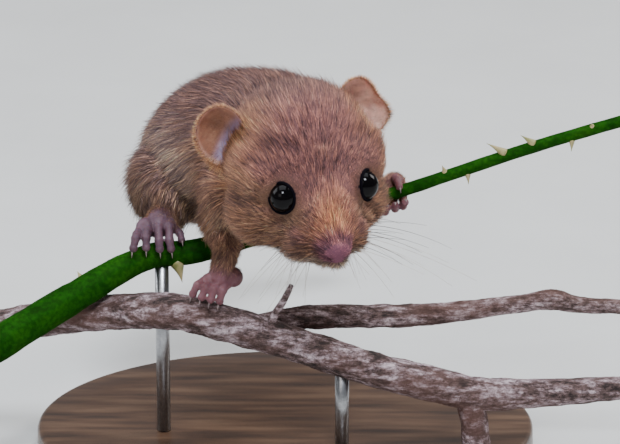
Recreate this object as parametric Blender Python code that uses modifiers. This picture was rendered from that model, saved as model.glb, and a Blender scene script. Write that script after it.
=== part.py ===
"""Hazel dormouse on two cut perches, a still life-size model on a plain display stand."""
import math

import bpy
import bmesh
from mathutils import Matrix, Vector

MM = 0.001
MODEL_NAME = "hazel_dormouse"

# Where the middle of the photo's frame lies above the underside of the base
VIEW_CENTRE = Vector((0.004, -0.013, 0.044))

# Gap that parted pieces keep
PART_GAP = 0.3

# Display stand, in millimetres
BASE_HALF_WIDTH = 40.0
BASE_HALF_DEPTH = 31.0
BASE_THICKNESS = 5.0
BASE_EDGE = 0.8
ROD_RADIUS = 1.1

# Head, measured from the point midway between the eyes
EYE_MIDPOINT = Vector((1.63, -8.0, 8.3))
HEAD_YAW = math.radians(22.0)
HEAD_PITCH = math.radians(28.0)
HEAD_ROLL = math.radians(1.5)
EYE_PLACE = (0.9, 6.4, 0.5)
EYE_RADIUS = 2.4
LID_RING_RADIUS = 2.62
LID_RING_RISE = 0.8
LID_THICKNESS = 0.42
EYE_LOOK = (0.60, 0.65, 0.46)
NOSE_TIP = (9.2, 0.0, -4.0)

# Body surface: grid of the remesh, smoothing passes and share of faces kept
BODY_GRID = 0.5
BODY_SMOOTHING = 8
BODY_FACES_KEPT = 0.054

# Directions across the body, which is turned away from the camera
BODY_YAW = math.radians(29.0)
BODY_FORWARD = Vector((math.sin(BODY_YAW), -math.cos(BODY_YAW), 0.0))
BODY_LEFT = Vector((math.cos(BODY_YAW), math.sin(BODY_YAW), 0.0))

# Trunk from nape to tail root: place and radius of each round form
NAPE = (Vector((-2.0, 8.0, 8.5)), 11.3)
SHOULDERS = (Vector((-6.0, 12.0, 8.5)), 12.0)
MID_BACK = (Vector((-12.0, 19.0, 6.0)), 12.3)
RUMP = (Vector((-16.0, 26.0, 2.0)), 11.6)
TAIL_ROOT = (Vector((-18.5, 33.5, -3.0)), 5.0)

# Tail, hanging back and curling behind the body
TAIL_ROUTE = [
    (Vector((-18.5, 33.5, -3.0)), 4.4),
    (Vector((-20.5, 43.5, -9.0)), 3.9),
    (Vector((-17.5, 55.0, -14.0)), 4.1),
    (Vector((-8.5, 64.5, -17.0)), 4.0),
    (Vector((2.5, 69.0, -18.0)), 2.9),
    (Vector((6.0, 69.3, -18.2)), 1.4),
]

# Perches: centre line and radius, from the left end to the right end
STEM_ROUTE = [
    (Vector((-52.0, -8.0, -19.6)), 2.75),
    (Vector((-38.4, 2.0, -14.2)), 2.5),
    (Vector((-26.4, 8.2, -9.2)), 2.05),
    (Vector((-17.5, 10.6, -8.6)), 1.95),
    (Vector((-2.0, 10.5, -3.95)), 1.45),
    (Vector((14.3, 9.2, 1.8)), 1.0),
    (Vector((33.9, 7.8, 9.3)), 0.95),
    (Vector((52.0, 6.0, 15.6)), 0.9),
]
BRANCH_ROUTE = [
    (Vector((-52.0, 10.0, -22.0)), 2.7),
    (Vector((-38.0, 8.0, -18.7)), 2.8),
    (Vector((-22.5, 2.5, -15.8)), 2.85),
    (Vector((-13.2, 1.0, -17.3)), 2.85),
    (Vector((-1.5, 0.0, -20.7)), 2.7),
    (Vector((9.8, -1.0, -24.2)), 2.7),
    (Vector((20.2, -1.5, -26.8)), 2.75),
    (Vector((29.5, -1.5, -28.3)), 2.5),
    (Vector((52.0, 0.0, -27.6)), 1.7),
]
FORK_ROUTE = [
    (Vector((25.0, -1.5, -28.0)), 2.2),
    (Vector((25.8, -2.0, -32.5)), 2.15),
    (Vector((26.2, -2.5, -36.6)), 2.2),
]
SPUR_ROUTE = [
    (Vector((-6.5, 0.0, -18.5)), 0.8),
    (Vector((-5.6, -1.0, -15.2)), 0.6),
    (Vector((-4.2, -1.6, -12.6)), 0.55),
    (Vector((-2.9, -1.8, -9.8)), 0.4),
]
TWIG_ROUTE = [
    (Vector((-10.5, 1.6, -18.2)), 1.4),
    (Vector((-4.5, 3.4, -17.7)), 1.75),
    (Vector((1.9, 4.5, -17.5)), 1.85),
    (Vector((17.7, 5.0, -17.4)), 1.75),
    (Vector((33.0, 5.2, -15.6)), 1.4),
    (Vector((38.3, 5.2, -14.9)), 1.7),
    (Vector((42.5, 5.2, -15.8)), 1.25),
    (Vector((52.0, 5.2, -16.2)), 1.15),
]
# Prickles of the bramble stem: place along X, direction away from the stem, length, base radius
PRICKLES = [
    (21.2, Vector((-0.3, -0.2, 1.0)), 1.4, 0.55),
    (24.5, Vector((0.2, -0.4, -1.0)), 1.7, 0.55),
    (31.0, Vector((-1.0, -0.2, 0.75)), 3.2, 0.75),
    (35.2, Vector((-1.0, -0.2, 0.9)), 2.4, 0.7),
    (40.6, Vector((0.05, -0.4, -1.0)), 1.8, 0.55),
    (44.0, Vector((-0.2, -0.6, 0.8)), 1.0, 0.5),
    (-21.6, Vector((0.4, -0.45, -1.0)), 3.4, 1.35),
    (-35.0, Vector((-0.5, 0.5, 0.9)), 1.6, 0.8),
    (-45.0, Vector((-0.3, -0.7, -0.8)), 1.4, 0.8),
]

FUR_BROWN = (0.36, 0.22, 0.13, 1.0)
FUR_TAN = (0.55, 0.36, 0.21, 1.0)
SKIN_PINK = (0.62, 0.36, 0.33, 1.0)
FOOT_MAUVE = (0.48, 0.38, 0.44, 1.0)
EAR_PEACH = (0.62, 0.34, 0.22, 1.0)
EYE_BLACK = (0.01, 0.01, 0.012, 1.0)
BARK_GREY = (0.30, 0.24, 0.22, 1.0)
STEM_GREEN = (0.08, 0.22, 0.05, 1.0)
BASE_WOOD = (0.12, 0.07, 0.045, 1.0)
ROD_METAL = (0.25, 0.25, 0.26, 1.0)


def clear_scene():
    for old in list(bpy.data.objects):
        bpy.data.objects.remove(old, do_unlink=True)


def new_collection(name):
    group = bpy.data.collections.new(name)
    bpy.context.scene.collection.children.link(group)
    return group


def make_material(name, colour, roughness, metallic=0.0):
    material = bpy.data.materials.new(name)
    material.use_nodes = True
    shader = material.node_tree.nodes["Principled BSDF"]
    shader.inputs["Base Color"].default_value = colour
    shader.inputs["Roughness"].default_value = roughness
    shader.inputs["Metallic"].default_value = metallic
    return material


def world(point):
    """Metres in the world from millimetres about the photo's middle."""
    return VIEW_CENTRE + Vector(point) * MM


def head_axes():
    """Forward, left and up directions of the head."""
    level = Vector((math.sin(HEAD_YAW), -math.cos(HEAD_YAW), 0.0))
    forward = level * math.cos(HEAD_PITCH) - Vector((0.0, 0.0, math.sin(HEAD_PITCH)))
    flat = Vector((math.cos(HEAD_YAW), math.sin(HEAD_YAW), 0.0))
    left = flat * math.cos(HEAD_ROLL) + forward.cross(flat) * math.sin(HEAD_ROLL)
    return forward, left, forward.cross(left)


def head_spot(forward, left, up):
    axes = head_axes()
    return EYE_MIDPOINT + axes[0] * forward + axes[1] * left + axes[2] * up


def frame_matrix(centre, axes, radii):
    """Matrix that turns a unit ball into an ellipsoid along three directions."""
    turn = Matrix((axes[0], axes[1], axes[2])).transposed().to_4x4()
    sizes = Matrix.Diagonal((radii[0] * MM, radii[1] * MM, radii[2] * MM, 1.0))
    return Matrix.Translation(world(centre)) @ turn @ sizes


def add_ball(mesh, centre, radius, segments=16):
    matrix = Matrix.Translation(world(centre)) @ Matrix.Scale(radius * MM, 4)
    bmesh.ops.create_uvsphere(mesh, u_segments=segments, v_segments=segments // 2,
                              radius=1.0, matrix=matrix)


def add_ellipsoid(mesh, centre, axes, radii, segments=24):
    bmesh.ops.create_uvsphere(mesh, u_segments=segments, v_segments=segments // 2,
                              radius=1.0, matrix=frame_matrix(centre, axes, radii))


def route_point(route, share):
    """Place and radius on a smooth curve through a route, share running from 0 to 1."""
    last = len(route) - 1
    index = min(int(share * last), last - 1)
    part = share * last - index
    before = route[max(index - 1, 0)]
    start = route[index]
    end = route[index + 1]
    after = route[min(index + 2, last)]
    weights = (
        (-part + 2 * part ** 2 - part ** 3) / 2,
        (2 - 5 * part ** 2 + 3 * part ** 3) / 2,
        (part + 4 * part ** 2 - 3 * part ** 3) / 2,
        (-part ** 2 + part ** 3) / 2,
    )
    four = (before, start, end, after)
    place = sum((knot[0] * weight for knot, weight in zip(four, weights)), Vector())
    radius = sum(knot[1] * weight for knot, weight in zip(four, weights))
    return place, radius


def route_at_x(route, x):
    """Place and radius where a route that runs along X reaches this X."""
    low = 0.0
    high = 1.0
    for _ in range(24):
        middle = (low + high) / 2
        if route_point(route, middle)[0].x < x:
            low = middle
        else:
            high = middle
    return route_point(route, low)


def add_limb(mesh, route, steps=10):
    """Row of balls close enough to read as one tapering limb."""
    for step in range(steps + 1):
        place, radius = route_point(route, step / steps)
        add_ball(mesh, place, radius, 12)


def object_from_bmesh(mesh, name, group):
    data = bpy.data.meshes.new(name)
    mesh.to_mesh(data)
    mesh.free()
    thing = bpy.data.objects.new(name, data)
    group.objects.link(thing)
    return thing


def apply_modifiers(thing):
    """Replace a mesh by what its modifiers make of it."""
    graph = bpy.context.evaluated_depsgraph_get()
    data = bpy.data.meshes.new_from_object(thing.evaluated_get(graph))
    thing.modifiers.clear()
    thing.data = data
    return thing


def keep_largest(thing):
    """Drop every closed surface but the one with the most faces."""
    mesh = bmesh.new()
    mesh.from_mesh(thing.data)
    left = set(mesh.verts)
    best = set()
    while left:
        stack = [left.pop()]
        island = set(stack)
        while stack:
            for edge in stack.pop().link_edges:
                for vertex in edge.verts:
                    if vertex in left:
                        left.remove(vertex)
                        island.add(vertex)
                        stack.append(vertex)
        if len(island) > len(best):
            best = island
    loose = [vertex for vertex in mesh.verts if vertex not in best]
    bmesh.ops.delete(mesh, geom=loose, context="VERTS")
    mesh.to_mesh(thing.data)
    mesh.free()
    return thing


def copy_of(thing, name, group):
    twin = bpy.data.objects.new(name, thing.data.copy())
    group.objects.link(twin)
    return twin


def remove_object(thing):
    bpy.data.objects.remove(thing, do_unlink=True)


def boolean(thing, cutter, operation):
    """Apply one Boolean with a single cutter."""
    step = thing.modifiers.new(operation.lower(), "BOOLEAN")
    step.operation = operation
    step.object = cutter
    step.solver = "EXACT"
    return apply_modifiers(thing)


def fuse(thing, pieces, helpers):
    """Fuse a collection of closed pieces to one node and remove them."""
    group = bpy.data.collections.new(thing.name + "_pieces")
    helpers.children.link(group)
    for piece in pieces:
        group.objects.link(piece)
    step = thing.modifiers.new("fuse", "BOOLEAN")
    step.operation = "UNION"
    step.operand_type = "COLLECTION"
    step.collection = group
    step.solver = "EXACT"
    apply_modifiers(thing)
    for piece in pieces:
        remove_object(piece)
    bpy.data.collections.remove(group)
    return keep_largest(thing)


def swollen(thing, amount, group):
    """Copy of a closed mesh, pushed outward along its normals."""
    twin = copy_of(thing, thing.name + "_swollen", group)
    push = twin.modifiers.new("swell", "DISPLACE")
    push.strength = amount * MM
    push.mid_level = 0.0
    return apply_modifiers(twin)


def tube(name, route, group, sides=2, steps=None):
    """Closed round tube of changing radius along a route."""
    count = steps or (len(route) * 3 - 2)
    data = bpy.data.curves.new(name, "CURVE")
    data.dimensions = "3D"
    data.bevel_depth = MM
    data.bevel_resolution = sides
    data.use_fill_caps = True
    line = data.splines.new("POLY")
    line.points.add(count - 1)
    for index in range(count):
        place, radius = route_point(route, index / (count - 1))
        line.points[index].co = (*world(place), 1.0)
        line.points[index].radius = radius
    curve = bpy.data.objects.new(name, data)
    group.objects.link(curve)
    graph = bpy.context.evaluated_depsgraph_get()
    mesh = bmesh.new()
    mesh.from_mesh(bpy.data.meshes.new_from_object(curve.evaluated_get(graph)))
    bmesh.ops.remove_doubles(mesh, verts=mesh.verts, dist=0.00001)
    bmesh.ops.recalc_face_normals(mesh, faces=mesh.faces)
    remove_object(curve)
    return object_from_bmesh(mesh, name, group)


def thorn(name, root, direction, length, radius, group):
    """Cone with its root sunk in what it grows from."""
    mesh = bmesh.new()
    turn = direction.to_track_quat("Z", "Y").to_matrix().to_4x4()
    middle = root + direction.normalized() * (length / 2)
    matrix = Matrix.Translation(world(middle)) @ turn
    bmesh.ops.create_cone(mesh, cap_ends=True, segments=6, radius1=radius * MM,
                          radius2=0.12 * MM, depth=length * MM, matrix=matrix)
    return object_from_bmesh(mesh, name, group)


def build_body_form(helpers):
    """Whole furred body without ears, hands and feet, as one smooth closed surface."""
    mesh = bmesh.new()
    axes = head_axes()
    add_ellipsoid(mesh, head_spot(-8.0, 0.2, -2.2), axes, (9.8, 12.9, 10.5))
    add_ellipsoid(mesh, head_spot(-4.8, 0.0, -2.4), axes, (8.8, 10.4, 9.4))
    add_ellipsoid(mesh, head_spot(-1.5, 0.0, -3.2), axes, (8.4, 7.5, 8.0))
    add_ball(mesh, head_spot(-1.0, 0.0, -7.6), 7.2)
    add_ball(mesh, head_spot(5.2, 0.0, -8.6), 2.8)
    nose = head_spot(NOSE_TIP[0] - 0.2, 0.0, NOSE_TIP[2])
    add_ellipsoid(mesh, nose, axes, (1.7, 3.2, 2.0))
    for side in (-1.0, 1.0):
        add_ball(mesh, head_spot(-3.4, 6.6 * side, -5.6), 6.4)
        add_ball(mesh, head_spot(5.0, 3.4 * side, -5.8), 3.6)
        add_ball(mesh, head_spot(NOSE_TIP[0] + 0.1, 1.5 * side, NOSE_TIP[2] - 0.2), 1.35)
    snout = head_spot(NOSE_TIP[0] - 0.8, 0.0, NOSE_TIP[2] - 0.2)
    add_limb(mesh, [(head_spot(1.0, 0.0, -3.6), 6.6), (head_spot(5.0, 0.0, -5.0), 4.9),
                    (snout, 3.0)], 8)
    add_limb(mesh, [(head_spot(-9.0, 0.0, -0.8), 11.3), NAPE], 5)
    trunk = [NAPE, SHOULDERS, MID_BACK, RUMP]
    add_limb(mesh, trunk, 12)
    add_limb(mesh, [RUMP, TAIL_ROOT], 6)
    add_limb(mesh, TAIL_ROUTE, 30)
    for route in (FORE_LIMB_RIGHT, FORE_LIMB_LEFT, HIND_LIMB_RIGHT, HIND_LIMB_LEFT):
        add_limb(mesh, route, 14)
    body = object_from_bmesh(mesh, "body_form", helpers)
    grid = body.modifiers.new("grid", "REMESH")
    grid.mode = "VOXEL"
    grid.voxel_size = BODY_GRID * MM
    soften = body.modifiers.new("soften", "SMOOTH")
    soften.factor = 0.5
    soften.iterations = BODY_SMOOTHING
    thin = body.modifiers.new("thin", "DECIMATE")
    thin.ratio = BODY_FACES_KEPT
    return keep_largest(apply_modifiers(body))


# Limbs inside the coat: place and radius from the trunk to the wrist or heel
FORE_LIMB_RIGHT = [
    (Vector((-11.0, 5.5, 3.5)), 6.0),
    (Vector((-13.3, 6.0, -1.2)), 4.2),
    (Vector((-13.2, 3.2, -4.2)), 2.6),
    (Vector((-13.0, 2.0, -5.4)), 1.9),
]
FORE_LIMB_LEFT = [
    (Vector((3.8, 13.3, 4.0)), 6.0),
    (Vector((8.2, 14.0, -0.5)), 3.9),
    (Vector((10.8, 13.0, -0.3)), 2.6),
    (Vector((12.2, 12.3, 0.4)), 1.9),
]
HIND_LIMB_RIGHT = [
    (Vector((-18.5, 23.5, 1.0)), 8.0),
    (Vector((-21.8, 19.5, -0.2)), 7.4),
    (Vector((-22.8, 15.5, -2.0)), 4.2),
    (Vector((-23.2, 12.6, -3.4)), 2.4),
]
HIND_LIMB_LEFT = [
    (Vector((-10.0, 27.5, 1.0)), 8.0),
    (Vector((-8.0, 25.5, -1.0)), 7.0),
    (Vector((-9.0, 21.5, -4.5)), 3.8),
    (Vector((-10.0, 18.6, -5.6)), 2.3),
]


def region_box(name, corner_point, inward, size, helpers):
    """Large box whose one face passes through a point, square to a direction."""
    mesh = bmesh.new()
    turn = inward.to_track_quat("Z", "Y").to_matrix().to_4x4()
    middle = corner_point + inward.normalized() * (size / 2)
    matrix = Matrix.Translation(world(middle)) @ turn @ Matrix.Scale(size * MM, 4)
    bmesh.ops.create_cube(mesh, size=1.0, matrix=matrix)
    return object_from_bmesh(mesh, name, helpers)


def region_ball(name, centre, axes, radii, helpers):
    mesh = bmesh.new()
    add_ellipsoid(mesh, centre, axes, radii, 28)
    return object_from_bmesh(mesh, name, helpers)


def take_piece(rest, name, region, wider_region, group):
    """Move what lies in a region into a node of its own, leaving a thin gap."""
    piece = copy_of(rest, name, group)
    boolean(piece, region, "INTERSECT")
    keep_largest(piece)
    boolean(rest, wider_region, "DIFFERENCE")
    remove_object(region)
    remove_object(wider_region)
    return piece


def take_by_plane(rest, name, point, inward, group, helpers, size=120.0):
    near = region_box(name + "_region", point, inward, size, helpers)
    wider = region_box(name + "_wider", point - inward.normalized() * PART_GAP, inward,
                       size, helpers)
    return take_piece(rest, name, near, wider, group)


def take_by_ball(rest, name, centre, axes, radii, group, helpers):
    near = region_ball(name + "_region", centre, axes, radii, helpers)
    grown = tuple(radius + PART_GAP for radius in radii)
    wider = region_ball(name + "_wider", centre, axes, grown, helpers)
    return take_piece(rest, name, near, wider, group)


def part_body(body, group, helpers):
    """Divide the body into its named nodes by thin cuts."""
    level_axes = (BODY_FORWARD, BODY_LEFT, Vector((0.0, 0.0, 1.0)))
    nodes = {}
    cuts = [
        ("hind_leg_right", Vector((-26.4, 15.8, -2.8)), (10.5, 9.2, 9.5)),
        ("hind_leg_left", Vector((-4.2, 27.0, -4.5)), (10.5, 8.6, 8.2)),
        ("fore_leg_right", Vector((-16.4, 2.4, -3.2)), (7.5, 7.0, 7.4)),
        ("fore_leg_left", Vector((11.8, 16.0, -1.4)), (7.5, 7.2, 6.8)),
    ]
    for name, centre, radii in cuts:
        nodes[name] = take_by_ball(body, name, centre, level_axes, radii, group, helpers)
    forward = head_axes()[0]
    nodes["head"] = take_by_plane(body, "head", head_spot(-11.0, 0.0, -2.0), forward,
                                  group, helpers)
    nodes["neck"] = take_by_plane(body, "neck", Vector((-4.0, 10.0, 8.0)), BODY_FORWARD,
                                  group, helpers)
    for name, index in (("tail_tip", 3), ("tail_middle", 1)):
        start = TAIL_ROUTE[index][0]
        along = (TAIL_ROUTE[index + 1][0] - start).normalized()
        nodes[name] = take_by_plane(body, name, start + along * 1.0, along, group, helpers,
                                    60.0)
    root = TAIL_ROUTE[0][0]
    back = (TAIL_ROUTE[1][0] - root).normalized()
    nodes["tail_base"] = take_by_plane(body, "tail_base", root + back * 1.5, back, group,
                                       helpers, 60.0)
    nodes["chest"] = take_by_plane(body, "chest", Vector((-8.6, 15.0, 6.0)), BODY_FORWARD,
                                   group, helpers)
    slant = (BODY_FORWARD + Vector((0.0, 0.0, 0.45))).normalized()
    nodes["abdomen"] = take_by_plane(body, "abdomen", Vector((-14.2, 22.6, 4.0)), slant,
                                     group, helpers)
    body.name = "rump"
    helpers.objects.unlink(body)
    group.objects.link(body)
    nodes["rump"] = keep_largest(body)
    return nodes


def cut_with(thing, cutter):
    """Cut one shape away and remove the cutter."""
    boolean(thing, cutter, "DIFFERENCE")
    remove_object(cutter)
    return keep_largest(thing)


def eye_axis(side):
    """Direction an eye looks in: outward, forward and up."""
    forward, left, up = head_axes()
    look = forward * EYE_LOOK[0] + left * (EYE_LOOK[1] * side) + up * EYE_LOOK[2]
    return look.normalized()


def eye_centre(side):
    return head_spot(EYE_PLACE[0], EYE_PLACE[1] * side, EYE_PLACE[2])


# Line of the mouth from corner to corner, in head millimetres
MOUTH_LINE = [(3.2, -5.0, -8.8), (5.2, -4.1, -8.2), (7.0, -2.6, -7.6), (8.0, -1.0, -7.2),
              (8.2, 0.0, -7.1), (8.0, 1.0, -7.2), (7.0, 2.6, -7.6), (5.2, 4.1, -8.2),
              (3.2, 5.0, -8.8)]


def detail_head(head, helpers):
    """Sockets, lids, lips, mouth line and nostrils, all in the head's own node."""
    axes = head_axes()
    rings = []
    for side in (-1.0, 1.0):
        look = eye_axis(side)
        middle = world(eye_centre(side) + look * LID_RING_RISE)
        bpy.ops.mesh.primitive_torus_add(
            major_radius=LID_RING_RADIUS * MM, minor_radius=LID_THICKNESS * MM,
            major_segments=18, minor_segments=5, location=middle,
            rotation=look.to_track_quat("Z", "Y").to_euler())
        ring = bpy.context.object
        for owner in list(ring.users_collection):
            owner.objects.unlink(ring)
        rings.append(ring)
    fuse(head, rings, helpers)
    for side in (-1.0, 1.0):
        mesh = bmesh.new()
        add_ball(mesh, eye_centre(side), EYE_RADIUS + PART_GAP, 18)
        cut_with(head, object_from_bmesh(mesh, "socket", helpers))
        mesh = bmesh.new()
        nostril = head_spot(NOSE_TIP[0] + 1.55, 1.35 * side, NOSE_TIP[2] - 0.35)
        add_ellipsoid(mesh, nostril, axes, (1.0, 0.45, 0.45), 8)
        cut_with(head, object_from_bmesh(mesh, "nostril", helpers))
    lips = []
    for name, rise in (("upper_lip", 0.55), ("lower_lip", -0.55)):
        route = [(head_spot(*(Vector(knot) + Vector((-0.35, 0.0, rise)))), 0.6)
                 for knot in MOUTH_LINE]
        lips.append(tube(name, route, helpers, 1, 13))
    unlink_from(lips, helpers)
    fuse(head, lips, helpers)
    slope = (axes[0] * 0.957 + axes[2] * 0.290, axes[1], axes[2] * 0.957 - axes[0] * 0.290)
    mesh = bmesh.new()
    add_ellipsoid(mesh, head_spot(5.2, 0.0, -8.0), slope, (4.6, 5.3, 0.24), 24)
    cut_with(head, object_from_bmesh(mesh, "mouth", helpers))
    return head


def build_eye(side, name, group):
    mesh = bmesh.new()
    add_ball(mesh, eye_centre(side), EYE_RADIUS, 18)
    return object_from_bmesh(mesh, name, group)


# Ears: root and tip in head millimetres, opening direction, half width, corner size and turn
EARS = {
    "ear_right": ((-9.3, -10.6, -2.1), (-14.3, -13.9, 7.1), Vector((-0.12, -0.95, 0.28)),
                  4.0, 0.04, 0.4),
    "ear_left": ((-9.9, 8.9, -2.3), (-14.0, 11.2, 7.2), Vector((0.42, -0.86, 0.22)),
                 4.6, 0.18, -0.35),
}
EAR_CUP = 3.0
EAR_THICKNESS = 0.7


def build_ear(name, head_form, neck_form, group, helpers):
    """Cupped round ear: a dished disc from root to rim, thickened."""
    root_spot, tip_spot, facing, half_width, corner, turn = EARS[name]
    root = head_spot(*root_spot)
    tip = head_spot(*tip_spot)
    length_axis = (tip - root).normalized()
    normal = (facing - length_axis * facing.dot(length_axis)).normalized()
    width_axis = length_axis.cross(normal)
    half_length = (tip - root).length / 2
    middle = (root + tip) / 2
    mesh = bmesh.new()
    bmesh.ops.create_circle(mesh, cap_ends=False, segments=13, radius=1.0)
    rim = list(mesh.edges)
    rings = [rim]
    for share in (0.6, 0.18):
        grown = bmesh.ops.extrude_edge_only(mesh, edges=rings[-1])
        verts = [item for item in grown["geom"] if isinstance(item, bmesh.types.BMVert)]
        for vertex in verts:
            flat = Vector((vertex.co.x, vertex.co.y, 0.0)).normalized()
            vertex.co = flat * share
        rings.append([item for item in grown["geom"] if isinstance(item, bmesh.types.BMEdge)])
    last = [edge for edge in rings[-1] if edge.is_boundary]
    bmesh.ops.edgeloop_fill(mesh, edges=last)
    for vertex in mesh.verts:
        along = vertex.co.x
        across = vertex.co.y
        reach = min(1.0, math.hypot(along, across))
        outline = 1.0 + corner * math.cos(3.0 * (math.atan2(across, along) - turn))
        width = half_width * (1.0 + 0.12 * along) * outline
        dish = EAR_CUP * (reach ** 2 - 1.0)
        place = (middle + length_axis * (along * half_length * outline)
                 + width_axis * (across * width) + normal * dish)
        vertex.co = world(place)
    bmesh.ops.recalc_face_normals(mesh, faces=mesh.faces)
    ear = object_from_bmesh(mesh, name, group)
    shell = ear.modifiers.new("shell", "SOLIDIFY")
    shell.thickness = EAR_THICKNESS * MM
    shell.offset = 0.0
    round_off = ear.modifiers.new("round", "SUBSURF")
    round_off.levels = 1
    round_off.render_levels = 1
    apply_modifiers(ear)
    for form in (head_form, neck_form):
        boolean(ear, form, "DIFFERENCE")
    return keep_largest(ear)


def digit(name, points, radius, group):
    """One finger or toe with its claw, as two closed pieces."""
    route = [(Vector(point), radius * share)
             for point, share in zip(points, (1.0, 0.96, 0.9, 0.72))]
    finger = tube(name, route, group, 1, 5)
    tip = route[-1][0]
    ahead = (tip - route[-2][0]).normalized()
    claw = thorn(name + "_claw", tip - ahead * 0.5, ahead, 1.3, radius * 0.5, group)
    return [finger, claw]


def stem_offsets(x, steps):
    """Points round the stem at one X from pairs of depth and height offsets."""
    points = []
    for shift, depth, height in steps:
        centre = route_at_x(STEM_ROUTE, x + shift)[0]
        points.append(centre + Vector((0.0, depth, height)))
    return points


def build_foot_right(group, helpers):
    """Right hind foot, draped over the front of the green stem."""
    mesh = bmesh.new()
    add_limb(mesh, [(Vector((-23.0, 13.0, -3.4)), 2.0), (Vector((-23.6, 11.0, -3.6)), 2.1),
                    (Vector((-24.0, 9.8, -4.2)), 2.0)], 5)
    for side in (-1.6, 1.5):
        add_ball(mesh, Vector((-24.2 + side, 9.6 + side * 0.3, -4.3)), 1.7)
    foot = round_form(mesh, "foot_right", group)
    pieces = []
    for index, x in enumerate((-26.7, -25.2, -23.4, -21.9)):
        spread = (x + 24.3) * 0.18
        reach = (0.0, 0.25, 0.3, 0.0)[index]
        points = stem_offsets(x, [(-spread, 0.6, 4.9), (0.0, -1.2, 4.5),
                                  (spread * 0.5, -2.8, 3.0 - reach), (spread, -3.2, 1.5 - reach)])
        pieces += digit("toe_right_%d" % index, points, 0.78, helpers)
    inner = stem_offsets(-20.6, [(-1.6, 1.5, 4.2), (-0.8, 0.6, 3.9), (0.0, -0.6, 3.5),
                                 (0.3, -1.8, 2.9)])
    pieces += digit("toe_right_inner", inner, 0.7, helpers)
    unlink_from(pieces, helpers)
    return fuse(foot, pieces, helpers)


def build_foot_left(group, helpers):
    """Left hind foot, behind the wrist, with its toes over the top of the stem."""
    mesh = bmesh.new()
    add_limb(mesh, [(Vector((-10.0, 18.6, -6.0)), 1.9), (Vector((-10.9, 16.2, -6.0)), 1.9),
                    (Vector((-11.4, 14.3, -5.8)), 1.8)], 5)
    for side in (-1.3, 1.3):
        add_ball(mesh, Vector((-11.5 + side, 14.2, -5.9)), 1.5)
    foot = round_form(mesh, "foot_left", group)
    pieces = []
    for index, x in enumerate((-13.6, -12.3, -11.0, -9.7)):
        spread = (x + 11.6) * 0.15
        points = stem_offsets(x, [(-spread, 3.3, 1.6), (0.0, 1.6, 2.9), (0.0, -0.9, 3.0),
                                  (spread, -2.6, 1.5)])
        pieces += digit("toe_left_%d" % index, points, 0.68, helpers)
    unlink_from(pieces, helpers)
    return fuse(foot, pieces, helpers)


def room_for_left_foot(helpers):
    """Space under the belly that the left hind foot and its toes need."""
    mesh = bmesh.new()
    add_limb(mesh, [(Vector((-9.6, 19.6, -5.6)), 2.8), (Vector((-10.9, 16.2, -5.9)), 2.9),
                    (Vector((-11.4, 14.3, -5.7)), 2.9)], 5)
    level_axes = (Vector((1.0, 0.0, 0.0)), Vector((0.0, 1.0, 0.0)), Vector((0.0, 0.0, 1.0)))
    add_ellipsoid(mesh, Vector((-11.6, 11.2, -5.4)), level_axes, (4.7, 6.6, 3.6))
    return round_form(mesh, "room_for_left_foot", helpers)


def build_hand_right(group, helpers):
    """Right hand, fingers resting on top of the brown branch."""
    mesh = bmesh.new()
    add_limb(mesh, [(Vector((-13.0, 1.9, -5.6)), 1.75), (Vector((-13.6, 1.3, -7.8)), 1.8),
                    (Vector((-14.2, 0.8, -9.8)), 1.9)], 6)
    add_ball(mesh, Vector((-12.0, 1.2, -9.6)), 1.6)
    add_ball(mesh, Vector((-15.6, 0.6, -10.2)), 1.5)
    hand = round_form(mesh, "hand_right", group)
    pieces = []
    tips = ((-18.3, -0.9, -11.7), (-16.9, -1.6, -12.0), (-15.5, -1.8, -12.3), (-14.1, -1.7, -12.6))
    for index, tip in enumerate(tips):
        knuckle = Vector((-16.6 + 1.25 * index, 0.3 - 0.1 * index, -10.0 - 0.1 * index))
        end = Vector(tip)
        bend = knuckle.lerp(end, 0.55) + Vector((0.0, -0.35, 0.7))
        points = [knuckle.lerp(Vector((-13.8, 1.2, -9.0)), 0.3), knuckle, bend, end]
        pieces += digit("finger_right_%d" % index, points, 0.74, helpers)
    unlink_from(pieces, helpers)
    return fuse(hand, pieces, helpers)


def build_hand_left(group, helpers):
    """Left hand, holding the green stem from behind with a finger above and three below."""
    mesh = bmesh.new()
    add_limb(mesh, [(Vector((12.2, 12.4, 0.4)), 1.7), (Vector((12.9, 12.0, 1.4)), 1.8),
                    (Vector((13.4, 11.8, 2.2)), 1.7)], 5)
    hand = round_form(mesh, "hand_left", group)
    pieces = []
    above = stem_offsets(13.2, [(0.0, 2.4, 0.8), (0.2, 1.0, 2.1), (0.5, -0.8, 2.2), (0.9, -1.9, 1.5)])
    pieces += digit("finger_left_upper", above, 0.68, helpers)
    for index, x in enumerate((11.8, 13.2, 14.6)):
        points = stem_offsets(x, [(0.2, 2.5, -0.4), (0.0, 1.3, -1.8), (0.1, -0.8, -2.3),
                                  (0.2, -2.0, -1.3)])
        pieces += digit("finger_left_%d" % index, points, 0.68, helpers)
    unlink_from(pieces, helpers)
    return fuse(hand, pieces, helpers)


def unlink_from(pieces, group):
    for piece in pieces:
        if piece.name in group.objects:
            group.objects.unlink(piece)


def round_form(mesh, name, group):
    """Fuse overlapping balls into one smooth closed form."""
    form = object_from_bmesh(mesh, name, group)
    grid = form.modifiers.new("grid", "REMESH")
    grid.mode = "VOXEL"
    grid.voxel_size = 0.35 * MM
    soften = form.modifiers.new("soften", "SMOOTH")
    soften.factor = 0.5
    soften.iterations = 3
    thin = form.modifiers.new("thin", "DECIMATE")
    thin.ratio = 0.17
    return keep_largest(apply_modifiers(form))


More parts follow.
